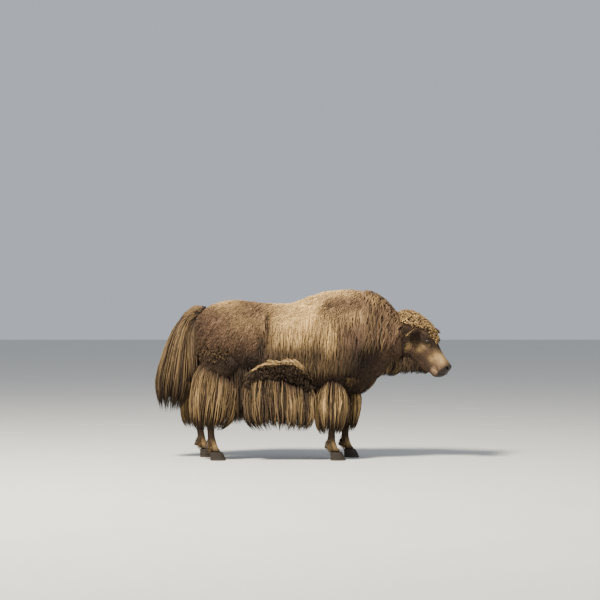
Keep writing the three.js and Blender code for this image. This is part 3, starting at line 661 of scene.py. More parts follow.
class Link:
    """A shader socket. Python's operators on it, with links or numbers, each add a Math node."""

    def __init__(self, finish, socket):
        self.finish = finish
        self.socket = socket

    def math(self, operation, *terms):
        return self.finish.node("ShaderNodeMath", {"operation": operation}, dict(enumerate(terms)))

    def __add__(self, other):
        return self.math("ADD", self, other)

    def __radd__(self, other):
        return self.math("ADD", other, self)

    def __sub__(self, other):
        return self.math("SUBTRACT", self, other)

    def __rsub__(self, other):
        return self.math("SUBTRACT", other, self)

    def __mul__(self, other):
        return self.math("MULTIPLY", self, other)

    def __rmul__(self, other):
        return self.math("MULTIPLY", other, self)

    def clipped(self):
        return self.math("MINIMUM", self.math("MAXIMUM", self, 0.0), 1.0)


class Finish:
    """A material whose nodes are made one at a time, each from its settings and its inputs."""

    def __init__(self, name):
        self.material = bpy.data.materials.new(name)
        self.material.use_nodes = True
        self.tree = self.material.node_tree
        self.tree.nodes.clear()

    def node(self, kind, settings=None, inputs=None, output=0):
        """One node with its settings and the values or links of its sockets, as a link to an output."""
        made = self.tree.nodes.new(kind)
        for key, setting in (settings or {}).items():
            setattr(made, key, setting)
        for key, value in (inputs or {}).items():
            socket = made.inputs[key]
            if isinstance(value, Link):
                self.tree.links.new(value.socket, socket)
            else:
                socket.default_value = value
        return Link(self, made.outputs[output]) if made.outputs else made

    def attribute(self, name):
        return self.node("ShaderNodeAttribute", {"attribute_name": name}, output=2)

    def place(self):
        return self.node("ShaderNodeTexCoord", output=3)

    def noise(self, scale, detail=2.0, vector=None):
        inputs = {"Vector": vector or self.place(), "Scale": scale, "Detail": detail}
        return self.node("ShaderNodeTexNoise", inputs=inputs)

    def mix(self, share, one, other):
        return self.node("ShaderNodeMix", {"data_type": "RGBA"}, {0: share, 6: one, 7: other}, 2)

    def bump(self, height, strength, distance):
        inputs = {"Height": height, "Strength": strength, "Distance": distance}
        return self.node("ShaderNodeBump", inputs=inputs)

    def done(self, inputs):
        shader = self.node("ShaderNodeBsdfPrincipled", inputs=inputs)
        self.node("ShaderNodeOutputMaterial", inputs={"Surface": shader})
        return self.material


def coat_colour(finish, tone, sun):
    """Dark to brown by the tone, then towards tan by the sun."""
    brown = finish.mix(tone, HAIR_DARK, HAIR_BROWN)
    return finish.mix(sun, brown, HAIR_TAN)


def hair_finish():
    """Hair: the coat's colour, varied from lock to lock and in fine streaks along each one."""
    finish = Finish("hair")
    tone, sun = finish.attribute("tone"), finish.attribute("sun")
    vary, across = finish.attribute("vary"), finish.attribute("across")
    along = finish.attribute("along")
    on_lock = {0: across * 1.6, 1: along * 1.2, 2: vary * 90.0}
    streaks = finish.noise(2.2, 1.0, finish.node("ShaderNodeCombineXYZ", inputs=on_lock))
    patch, mottle = finish.noise(9.0, 2.0), finish.noise(34.0, 2.0)
    wander = (streaks - 0.5) * 0.5 + (patch - 0.5) * 0.45 + (mottle - 0.5) * 0.3 + (vary - 0.5) * 0.36
    tone, sun = (tone + wander * tone * 1.6).clipped(), (sun + wander * sun * 1.4).clipped()
    return finish.done({
        "Base Color": coat_colour(finish, tone, sun), "Normal": finish.bump(streaks, 0.35, 0.002),
        "Roughness": 0.7, "Specular IOR Level": 0.16,
    })


hair_material = hair_finish()


# Skin of the whole animal
# Hide with flat short hair, bare and dark at the nose and the rims of the lids. It stands for every
# node of flesh, so that no seam shows.

skin = shown("skin", skin_mesh)


def attributes(mesh, **named):
    """One number for each point of a mesh, under each name."""
    for name, values in named.items():
        made = mesh.attributes.new(name, "FLOAT", "POINT")
        made.data.foreach_set("value", np.ascontiguousarray(values, dtype=np.float32).ravel())


lid_ring = solid("lids", lid_shapes())
with bpy.context.temp_override(active_object=skin, selected_editable_objects=[skin, lid_ring]):
    bpy.ops.object.join()
spots = (read_out(skin.data.vertices, "co", 3) - SHIFT) * 1000
tone, sun = markings(spots)
u, v, w = head_place(spots)
wool_edge = 0.3 + 0.75 * eased(u, 20, 240)  # the angle round the head's axis where the wool begins
under_wool = eased(np.arctan2(v + 95, np.abs(w)), wool_edge, wool_edge + 0.15)
under_wool = under_wool * eased(u, -66, -30) * (1 - eased(u, 290, 310)) * (spots[:, 0] > 790)
# Painted shade: the hide under the wool is darker and loses its tan.
tone, sun = tone * (1 - 0.45 * under_wool), sun * (1 - under_wool)
nose = eased(u, 500, 524) * (1 - eased(v, -28, -8) * (1 - eased(u, 520, 540)))
lip = bell((v + 134) / 26) * eased(u, 440, 470) * (1 - eased(u, 520, 545))
eye_gap = np.hypot((u - EYE[0]) / 24, (v - EYE[1]) / 15)
rim = (1 - eased(eye_gap, 0.85, 1.25)) * (np.abs(w) > 80)
bare = np.clip(nose + 0.7 * rim, 0, 1) * (u > 100)
attributes(skin.data, tone=tone, sun=sun, bare=bare, lip=np.clip(lip, 0, 1) * (u > 400))


def skin_finish():
    """Hide: the coat's colour with a fine grain of hair, and pebbled leather where it is bare."""
    finish = Finish("hide")
    tone, sun = finish.attribute("tone"), finish.attribute("sun")
    bare, lip = finish.attribute("bare"), finish.attribute("lip")
    place = finish.place()
    lying = finish.node("ShaderNodeMapping", inputs={"Vector": place, "Scale": (520.0, 520.0, 70.0)})
    grain = finish.noise(1.0, 2.0, lying)
    patch, mottle = finish.noise(9.0, 2.0, place), finish.noise(34.0, 2.0, place)
    wander = (grain - 0.5) * 0.8 + (patch - 0.5) * 0.45 + (mottle - 0.5) * 1.1
    tone, sun = (tone * 0.8 + wander * tone).clipped(), (sun * 0.85 + wander * sun).clipped()
    lips = finish.mix(lip, coat_colour(finish, tone, sun), LIP_COLOUR)
    base = finish.mix(bare, lips, NOSE_COLOUR)
    pebbles = finish.node(
        "ShaderNodeTexVoronoi", {"feature": "DISTANCE_TO_EDGE"}, {"Vector": place, "Scale": 230.0}
    )
    height = grain * (1 - bare) * 0.6 + (pebbles * 3.0).clipped() * bare
    return finish.done({
        "Base Color": base, "Normal": finish.bump(height, 0.6, 0.003),
        "Roughness": 0.85 - 0.42 * bare, "Specular IOR Level": 0.14,
    })


skin.data.materials.clear()
skin.data.materials.append(skin_finish())
FLESH = ["head", "neck", "torso", "tail"] + [
    f"{part}_{side}" for part in ("flank", "foreleg", "hindleg", "ear") for side in ("left", "right")
]
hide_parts(*FLESH)
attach(skin, "root")


# Eyes
# Each is a wet dark ball with a clear swelling over the iris. It is a piece of its own that sits in the
# skin, held by the lids.

EYE_TILTS = np.linspace(0.02, math.pi - 0.02, 40)  # from the front of the ball to its back
EYE_TURNS = np.arange(56) * TURN / 56
SIDES = (("left", 1), ("right", -1))


def eye_points(side):
    """Eye: rings round the line of sight, as on a ball, with the radius a little more over the iris."""
    turn, tilt = np.meshgrid(EYE_TURNS, EYE_TILTS)
    face = np.cos(tilt)
    radius = EYE_RADIUS * (1 + 0.05 * eased(face, 0.80, 0.97))
    ring = np.sin(tilt) * radius
    gaze = side * OUT * 0.93 + ALONG * 0.33 + UP * 0.02
    gaze = gaze / np.linalg.norm(gaze)
    level = np.cross(gaze, UP)
    level = level / np.linalg.norm(level)
    upright = np.cross(level, gaze)
    centre = head_point(EYE[0], EYE[1], side * EYE[2])
    place = centre + (face * radius)[..., None] * gaze
    return place + (ring * np.cos(turn))[..., None] * level + (ring * np.sin(turn))[..., None] * upright


def eye_finish():
    """Eye: a nearly black bar of pupil in a dark brown iris, and a brown white round it, all wet."""
    finish = Finish("eye")
    out, high = finish.attribute("out"), finish.attribute("high")
    reach = finish.attribute("reach")
    iris = finish.mix(finish.noise(300.0, 2.0), (0.007, 0.004, 0.003, 1), (0.020, 0.010, 0.005, 1))
    pupil = 1 - (((out * out) * 0.55 + (high * high) * 3.2) * 9.0).clipped()
    seen = finish.mix(pupil, iris, (0.002, 0.002, 0.002, 1))
    base = finish.mix((reach * 8.0 - 6.4).clipped(), seen, (0.050, 0.030, 0.022, 1))
    return finish.done({"Base Color": base, "Roughness": 0.10, "Specular IOR Level": 0.22})


eye_material = eye_finish()
turn, tilt = (angles.ravel() for angles in np.meshgrid(EYE_TURNS, EYE_TILTS))
reach = np.append(np.sin(tilt), [0, 0]) + (np.append(np.cos(tilt), [1, -1]) < 0)
for label, side in SIDES:
    eye = solid(f"eyeball_{label}", [closed_loft(eye_points(side))])
    attributes(
        eye.data, reach=reach, out=reach * np.append(np.cos(turn), [0, 0]),
        high=reach * np.append(np.sin(turn), [0, 0]),
    )
    eye.data.materials.append(eye_material)
    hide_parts(f"eye_{label}")
    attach(eye, "root")


# Hooves and dewclaws
# Two claws of dark horn to a foot, with growth rings and a paler worn edge, and two dewclaws behind. The
# pastern sinks a little into the claws, and the dewclaws are rooted in the back of it.

HOOF_TOP = 66
CLAW_APART = 27.5
# Columns: height, x and y from the claw's centre, half depth, half width.
CLAW = np.array([
    [0, 8, 0, 60, 27],
    [4, 8, 0, 60.5, 27.3],
    [12, 7, 0, 60, 27],
    [40, 0, 0, 53, 25],
    [HOOF_TOP - 4, -7, 0, 47, 22.5],
    [HOOF_TOP, -8, 0, 46, 22],
])
DEWCLAW_BACK = 82
DEWCLAW_APART = 21
DEWCLAW_HIGH = 112
DEWCLAW_SIZE = (22, 12, 17)
DEWCLAW_LEAN = -0.5


def claw_points(x, y, away):
    """Claw: a column with rings of growth round it, its toe drawn in towards the other claw."""
    foot = (x, y + CLAW_APART * away, away)
    place = np.concatenate([[0, 1.2], np.linspace(4, HOOF_TOP - 0.4, 26)])
    height, angle = np.meshgrid(place, np.arange(40) * TURN / 40, indexing="ij")
    growth = (0.3 * np.sin(height / 1.9) + 0.25 * np.sin(height / 4.3 + 1)) * eased(height, 8, 16)
    rings = column_skin(CLAW, foot, height, angle, growth - 1.5 * (height < 0.6), 0.9)
    ahead = np.clip((rings[..., 0] - x) / 60, 0, 1)
    rings[..., 1] -= away * 7 * ahead**2
    return rings


def dewclaw_points(x, y, away):
    """Dewclaw: a pod turned back and down, whose rings shrink by a third towards its lower end."""
    tilts, turns = np.linspace(0.05, math.pi - 0.05, 14), np.arange(20) * TURN / 20
    tilt, turn = np.meshgrid(tilts, turns, indexing="ij")
    deep, wide, tall = DEWCLAW_SIZE
    east = np.cos(tilt) * deep
    ring = np.sin(tilt) * (1 - 0.35 * eased(tilt, 1.2, 3.0))
    north = ring * np.cos(turn) * wide
    high = ring * np.sin(turn) * tall
    c, s = math.cos(DEWCLAW_LEAN), math.sin(DEWCLAW_LEAN)
    centre = np.array([x - DEWCLAW_BACK, y + DEWCLAW_APART * away, DEWCLAW_HIGH])
    return centre + np.stack([east * c + high * s, north, high * c - east * s], -1)


def horn_finish(name, dark, pale, edge):
    """Horn: two browns in soft rings up the hoof, and paler where it is worn, up to one metre divided by
    the edge above the floor."""
    finish = Finish(name)
    place = finish.place()
    stretched = finish.node("ShaderNodeMapping", inputs={"Vector": place, "Scale": (6.0, 6.0, 60.0)})
    bands = finish.noise(4.0, 3.0, stretched)
    base = finish.mix((bands * 1.6 - 0.3).clipped(), dark, pale)
    height = finish.node("ShaderNodeSeparateXYZ", inputs={0: place}, output=2)
    worn = finish.mix((1.0 - height * edge).clipped() * 0.5, base, (0.080, 0.062, 0.045, 1))
    return finish.done({
        "Base Color": worn, "Roughness": bands * 0.3 + 0.45, "Normal": finish.bump(bands, 0.4, 0.002),
        "Specular IOR Level": 0.25,
    })


hoof_material = horn_finish("hoof", (0.010, 0.008, 0.006, 1), (0.038, 0.028, 0.020, 1), 60.0)
dewclaw_material = horn_finish(
    "dewclaw_horn", (0.020, 0.014, 0.010, 1), (0.060, 0.042, 0.028, 1), 1000.0,
)
for foot_name, (x, y, _) in FEET.items():
    outwards = math.copysign(1, y)
    for where, away in (("inner", -outwards), ("outer", outwards)):
        for kind, form, material, slot in (
            ("hoof", claw_points, hoof_material, "horn"),
            ("dewclaw", dewclaw_points, dewclaw_material, "dewclaw"),
        ):
            name = f"{kind}_{foot_name}_{where}"
            piece = solid(f"horn_{name}", [closed_loft(form(x, y, away))])
            piece.data.materials.append(material)
            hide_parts(name)
            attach(piece, "root")


# Hair
# Real hair hangs in locks: here each lock is a thin closed strip with a low ridge and a pointed tip,
# rooted under the skin. Many such locks joined in one mesh make a piece of coat.

SECTION = np.array([[-0.5, -0.35], [0.5, -0.35], [0.0, 0.65]])
PATCH = 0.003  # the size of each lock's own patch on the baking map
rng = np.random.default_rng(20611)


def unit(vectors):
    """Vectors divided by their lengths."""
    return vectors / (np.linalg.norm(vectors, axis=-1, keepdims=True) + 1e-9)


def laid_flat(ways, normals):
    """Directions less what stands out of the skin, made one long."""
    return unit(ways - normals * np.einsum("ij,ij->i", ways, normals)[:, None])


def drift(points, size, number):
    """A value that wanders smoothly between about -1 and 1: the mean of sines of the distance along six
    fixed directions, with waves about as long as size."""
    fixed = np.random.default_rng(number)
    ways = unit(fixed.normal(0, 1, (6, 3))) * TURN / (size * fixed.uniform(0.7, 1.6, (6, 1)))
    return np.sin(points @ ways.T + fixed.uniform(0, TURN, 6)).mean(-1) * 1.7


def hair_piece(name, path, outward, width, flatness, root_uv, tone, sun, fullness=(0.75, 1.0, 0.4)):
    """Locks: at each step of its path but the last, a lock has a three-cornered section, as wide as its
    width times its fullness there and set square to its way; the last point is its tip. Its thickness
    is its width times the flatness."""
    count, steps = path.shape[:2]
    rings = steps - 1
    way = unit(np.gradient(path, axis=1))
    flat = unit(np.cross(way, outward))
    raised = np.cross(flat, way)
    t = np.linspace(0, 1, steps)
    full = np.interp(t[:-1], [0, 0.3, 1], fullness)
    width = width * np.ones(count)
    wide = (width[:, None] * full)[:, :, None, None] * SECTION[:, 0][:, None]
    deep = ((width * flatness)[:, None] * full)[:, :, None, None] * SECTION[:, 1][:, None]
    spots = path[:, :-1, None] + wide * flat[:, :-1, None] + deep * raised[:, :-1, None]
    points = np.concatenate([spots.reshape(count, rings * 3, 3), path[:, -1:]], 1)
    each = rings * 3 + 1
    row = np.arange(rings - 1)[:, None] * 3
    corner, after = np.arange(3), np.array([1, 2, 0])
    quads = np.stack([row + corner, row + after, row + after + 3, row + corner + 3], -1).reshape(-1, 4)
    last = (rings - 1) * 3
    tips = np.stack([corner + last, after + last, np.full(3, rings * 3)], -1)
    fans = np.concatenate([[[2, 1, 0]], tips])
    shift = np.arange(count)[:, None, None] * each
    shape = (points.reshape(-1, 3), (quads + shift).reshape(-1, 4), (fans + shift).reshape(-1, 3))
    piece = solid(name, [shape])
    at_step = [3] * rings + [1]
    along = np.repeat(t, at_step)
    across = np.append(np.tile([-1.0, 1.0, 0.0], rings), 0.0)
    attributes(
        piece.data, along=np.tile(along, count), across=np.tile(across, count),
        vary=np.repeat(rng.random(count), each), tone=np.repeat(np.clip(tone, 0, 1), at_step, 1),
        sun=np.repeat(np.clip(sun, 0, 1), at_step, 1),
    )
    patch = np.stack([across * PATCH / 2, (along - 0.5) * PATCH], -1)
    spread = (np.clip(root_uv, 0.003, 0.997)[:, None] + patch[None]).reshape(-1, 2)
    spread = spread[read_out(piece.data.loops, "vertex_index", 1, int)[:, 0]]
    baking_map = piece.data.uv_layers.new(name="OFBake")
    baking_map.data.foreach_set("uv", spread.astype(np.float32).ravel())
    piece.data.materials.append(hair_material)
    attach(piece, "root")


# Short coat of the body
# The hide's own hair over trunk, neck and legs: flat tufts that lie back and down, matted in shallow
# waves. They are drawn over the skin's triangles by area, fewer where the skirts hide them.

skin.data.calc_loop_triangles()
corner_of = read_out(skin.data.loop_triangles, "vertices", 3, int)
facing = read_out(skin.data.vertex_normals, "vector", 3)
middles = spots[corner_of].mean(1)
sides_of = spots[corner_of[:, 1:]] - spots[corner_of[:, :1]]
areas = np.linalg.norm(np.cross(sides_of[:, 0], sides_of[:, 1]), axis=1) / 2
middle_u, middle_v, middle_w = head_place(middles)
head_share = eased(middle_u, -50, -10) * (middles[:, 0] > 800)
ROOT_DEPTH = 2.5  # how far under the skin a tuft begins


def roots_on_skin(chance, count):
    """Places drawn over the skin's triangles, each as likely as its area times its chance, and the
    direction that the skin faces there."""
    weight = np.cumsum(areas * chance)
    picked = np.searchsorted(weight, rng.random(count) * weight[-1])
    a, b = rng.random((2, count, 1))
    a, b = np.where(a + b > 1, 1 - a, a), np.where(a + b > 1, 1 - b, b)
    p, q, r = (spots[corner_of[picked, k]] for k in range(3))
    n, m, o = (facing[corner_of[picked, k]] for k in range(3))
    return p + (q - p) * a + (r - p) * b, unit(n + (m - n) * a + (o - n) * b)


def body_lie(points):
    """The way the hair lies on the body: back and down, more down on the neck and legs, and wandering."""
    x, y, z = points.T
    back = 0.75 - 0.45 * eased(x, 350, 650) - 0.5 * (1 - eased(z, 480, 700))
    back = back + 0.45 * drift(points, 120, 1)
    return np.stack([-back, 0.12 * np.sign(y), -np.ones(len(x))], -1)


def tufts(name, roots, normals, lie, length, rise, bend, width, marks, map_of, flatness=0.3):
    """Tufts: each runs from under the skin along the lie for its length, lifted by a rise that flattens
    out and bent sideways by the square of the way, with as many steps as its marks."""
    lie = laid_flat(lie, normals)
    aside = np.cross(normals, lie)
    t = np.linspace(0, 1, marks[0].shape[1])
    lift = -ROOT_DEPTH + (rise[:, None] + ROOT_DEPTH) * (1 - (1 - t) ** 1.7)
    path = (
        roots[:, None]
        + lie[:, None] * (length[:, None] * t)[..., None]
        + normals[:, None] * lift[..., None]
        + aside[:, None] * (bend[:, None] * length[:, None] * t**2)[..., None]
    )
    hair_piece(name, path, normals[:, None], width, flatness, map_of(roots), *marks)


def body_map(points):
    """A place on the unwrapped skin: the trunk opened along its underside fills the lower part of the
    map, by length and by the angle round its axis, and each leg is a strip above it."""
    x, y, z = points.T
    flat_x = 0.01 + 0.98 * (x + 900) / 1800
    flat_y = 0.01 + 0.66 * (np.arctan2(z - 880, y) / TURN + 0.5)
    for number, (foot_x, foot_y, _) in enumerate(FEET.values()):
        near = (z < 640) & (np.hypot(x - foot_x + 40, y - foot_y) < 150)
        round_leg = np.arctan2(y - foot_y, x - foot_x + 40) / TURN + 0.5
        flat_x = np.where(near, 0.01 + 0.245 * (number + 0.98 * round_leg), flat_x)
        flat_y = np.where(near, 0.70 + 0.28 * z / 640, flat_y)
    return np.stack([flat_x, flat_y], -1)


def coat_marks(points, steps=3, wander=0.4):
    """Tone and sun of tufts by the markings where they root, their tips a little brighter."""
    tone, sun = markings(points)
    t = np.linspace(0, 1, steps)
    spread = 1 + wander * (rng.random((len(points), 1)) - 0.5) + 0.22 * drift(points, 70, 2)[:, None]
    return tone[:, None] * (0.7 + 0.5 * t) * spread, sun[:, None] * (0.75 + 0.5 * t) * spread


# Columns: name, from x, to x, how many, length, width, rise.
BODY_COATS = [
    ["coat_rump", -900, -430, 10400, 46, 6.0, 12],
    ["coat_barrel", -430, 60, 9000, 52, 6.0, 10],
    ["coat_shoulder", 60, 520, 9600, 52, 6.0, 11],
    ["coat_nape", 520, 1000, 3600, 46, 5.8, 9],
]
for name, low_x, high_x, count, length, width, rise in BODY_COATS:
    inside = (middles[:, 0] > low_x) & (middles[:, 0] <= high_x) & (middles[:, 2] > 400)
    hidden = (middles[:, 2] < 600) & (np.abs(middles[:, 1]) > 130) & (middles[:, 0] < 60)
    roots, normals = roots_on_skin(inside * (1 - head_share) * np.where(hidden, 0.15, 1.0), count)
    scale = 0.35 + 0.65 * eased(roots[:, 2], 420, 620)
    lengths = length * scale * rng.uniform(0.7, 1.3, count)
    lift = rise * scale * (0.8 + 0.35 * drift(roots, 70, 3)) * rng.uniform(0.6, 1.1, count)
    tufts(
        name, roots, normals, body_lie(roots) + rng.normal(0, 0.11, (count, 3)), lengths, lift,
        rng.normal(0, 0.16, count), width * rng.uniform(0.6, 1.4, count), coat_marks(roots), body_map,
    )

SHANK_TUFTS = 3400
roots, normals = roots_on_skin((middles[:, 2] <= 430) & (middles[:, 2] > 60), SHANK_TUFTS)
tufts(
    "coat_shanks", roots, normals, body_lie(roots) + rng.normal(0, 0.12, (SHANK_TUFTS, 3)),
    18 * rng.uniform(0.7, 1.3, SHANK_TUFTS), 1.2 * rng.uniform(0.5, 1.5, SHANK_TUFTS),
    rng.normal(0, 0.1, SHANK_TUFTS), 2.6, coat_marks(roots), body_map,
)

# Longer hair behind each fetlock, over the roots of the dewclaws.
FETLOCK_LOCKS = 1100
feet_x = np.array([x for x, _, _ in FEET.values()])
feet_y = np.array([y for _, y, _ in FEET.values()])
behind = (np.abs(middles[:, :1] - feet_x + 84) < 44) & (np.abs(middles[:, 1:2] - feet_y) < 60)
roots, normals = roots_on_skin(behind.any(1) * bell((middles[:, 2] - 132) / 26), FETLOCK_LOCKS)
lie = np.array([-0.35, 0, -1]) + rng.normal(0, 0.2, (FETLOCK_LOCKS, 3))
lengths = 42 * rng.uniform(0.6, 1.2, FETLOCK_LOCKS)
lift = 16 * rng.uniform(0.6, 1.4, FETLOCK_LOCKS)
bend = rng.normal(0, 0.2, FETLOCK_LOCKS)
tone, sun = coat_marks(roots, 4)
marks = (tone * 1.5, sun * 0.6)
tufts("coat_fetlocks", roots, normals, lie, lengths, lift, bend, 3.2, marks, body_map, 0.35)


# Face and ears
# Short flat hair from the brow to the muzzle, longer and ragged on the cheeks and the jaw, and the hair
# of the ears. It grows from the skin but for the bare nose, the lids and the bed of the wool.

FACE_TUFTS = 11500
# The triangles of the skin that are under the wool of the poll and forehead.
low_edge = 0.38 + 0.75 * eased(middle_u, 20, 240) + 0.07 * drift(middles, 50, 8)
round_head = np.arctan2(middle_v + 95, np.abs(middle_w))
front_edge = 302 + 16 * drift(middles, 40, 9)
wool_share = (round_head > low_edge) & (middle_u > -66) & (middle_u < front_edge)
wool_share = wool_share & (np.abs(middle_w) < 140) & (middles[:, 0] > 780)


def head_map(points):
    """A place on the unwrapped head: by its distance along, and by the angle round its axis."""
    u, v, w = head_place(points)
    return np.stack([(u + 130) / 720, np.arctan2(w, v + 80) / TURN + 0.5], -1)


def head_lie(points):
    """The way the hair lies on the head: forwards on the brow, and back and down on the cheeks."""
    u, v, w = head_place(points)
    on_cheek = (1 - eased(v, -70, 10))[:, None]
    return (1 - 1.25 * on_cheek) * ALONG - 0.75 * on_cheek * UP + 0.25 * np.sign(w)[:, None] * OUT


# No hair where the skin is bare, little under the wool, and the shortest and closest on the muzzle.
furry = (bare[corner_of].mean(1) < 0.25) * (1 - 0.9 * wool_share)
furry = furry * (1 + 1.2 * eased(middle_u, 330, 420))
roots, normals = roots_on_skin(head_share * furry, FACE_TUFTS)
u, v, w = head_place(roots)
shaggy = (1 - eased(u, 130, 430)) * (1 - eased(v, -120, 0) * 0.6)
lengths = (12 + 30 * shaggy) * rng.uniform(0.7, 1.3, FACE_TUFTS)
tufts(
    "coat_face", roots, normals, head_lie(roots) + rng.normal(0, 0.16, (FACE_TUFTS, 3)), lengths,
    (0.3 + 7.5 * shaggy) * rng.uniform(0.5, 1.5, FACE_TUFTS), rng.normal(0, 0.2, FACE_TUFTS),
    1.9 + 2.1 * shaggy, coat_marks(roots, wander=0.8), head_map,
)

# Pale hair stands in the cup of each ear, and dark hair hangs from its edge.
EAR_HAIRS = 420
for label, side in SIDES:
    share = rng.uniform(0.1, 0.96, EAR_HAIRS)
    in_cup = rng.random(EAR_HAIRS) < 0.5
    turn = np.where(in_cup, rng.uniform(0.5, 2.6, EAR_HAIRS), rng.uniform(2.5, 4.2, EAR_HAIRS))
    roots = ear_skin(share, turn, side)
    _, _, tipward, wide, front = ear_frame(side)
    edge = eased(-np.cos(turn), 0.6, 0.95)
    normals = unit(front * (1 - 0.9 * edge[:, None]) - wide * edge[:, None])
    lie = tipward * (1 - 0.5 * edge[:, None]) - wide * 0.4 + rng.normal(0, 0.3, (EAR_HAIRS, 3))
    tone = np.outer(0.6 - 0.45 * edge, [0.6, 0.9, 1, 1, 1])
    sun = np.outer(0.6 - 0.6 * edge, [0.3, 0.7, 1, 1, 1])
    tufts(
        f"ear_hair_{label}", roots, normals, lie, 30 * rng.uniform(0.6, 1.3, EAR_HAIRS), 9 + 12 * edge,
        rng.normal(0, 0.2, EAR_HAIRS), 2.6, (tone, sun), head_map,
    )


# Long hair of the legs, flanks and throat
# Locks of long coarse hair, rooted high on a hanging form and falling down it, gathered in wavy cords
# that end in points. Bright cords lie outside, with dark ones sunk between them in painted shade, and
# painted light and shade fade down each form.

# Columns: z, x and y from the hoof's centre, half depth, half width.
BELL = np.array([
    [205, -60, 8, 84, 70],
    [260, -56, 8, 112, 90],
    [380, -50, 12, 134, 104],
    [500, -46, 14, 138, 108],
    [600, -42, 16, 126, 100],
    [680, -36, 18, 100, 84],
])
BREECHES = np.array([
    [235, -34, 8, 108, 66],
    [300, -16, 10, 168, 88],
    [450, -6, 14, 198, 106],
    [600, 0, 16, 202, 112],
    [720, 8, 18, 188, 110],
    [800, 22, 16, 150, 92],
])
SKIRT = np.array([
    [235, -182, 252, 224, 14],
    [300, -190, 256, 276, 24],
    [420, -196, 262, 290, 34],
    [560, -198, 262, 294, 42],
    [680, -198, 262, 284, 46],
    [760, -198, 250, 254, 28],
])
SKIRT_SQUARE = 0.6
FLANK_FRINGE = np.array([
    [285, -476, 150, 90, 56],
    [400, -480, 150, 118, 76],
    [560, -486, 150, 134, 106],
    [720, -486, 150, 140, 112],
    [780, -486, 150, 130, 82],
])
TAIL_FRINGE = np.array([
    [600, -872, 0, 50, 100],
    [760, -872, 0, 60, 136],
    [900, -886, 0, 58, 136],
    [1040, -882, 0, 52, 110],
    [1145, -856, 0, 34, 66],
])
BRISKET = np.array([
    [505, 395, 0, 60, 60],
    [560, 440, 0, 96, 84],
    [650, 480, 0, 118, 110],
    [740, 500, 0, 120, 120],
])
THROAT = np.array([
    [664, 678, -10, 50, 34],
    [700, 690, -14, 92, 66],
    [760, 706, -18, 104, 92],
    [850, 712, -20, 100, 100],
])
BEARD = np.array([
    [682, 880, -66, 100, 36],
    [712, 892, -68, 126, 54],
    [780, 888, -68, 132, 76],
    [850, 868, -60, 110, 88],
])


def evened(angle, square):
    """The angle on a squared column that spreads evenly turned locks evenly along its flat sides."""
    turned = np.mod(angle, TURN)
    side = np.where(turned > math.pi, -1, 1)
    from_front = np.where(side > 0, turned, TURN - turned)
    return side * np.arccos(np.clip(power(1 - 2 * from_front / math.pi, 1 / square), -1, 1))


def hanging(table, foot=(0, 0, 1), square=1.0):
    """The skin of a hanging form, from its top (0) to its tips (1), at an angle from its front."""
    top, bottom = table[-1, 0], table[0, 0]

    def skin_at(share, angle, lift):
        turned = evened(angle, square) if square < 1 else angle
        return column_skin(table, foot, top - (top - bottom) * share, turned, lift, square)

    return skin_at


def laid_on(skin_at, share, angle, lift):
    """A path over a skin, and the direction that the skin faces at each of its points."""
    path = skin_at(share, angle, lift)
    return path, unit(skin_at(share, angle, lift + 10) - path)


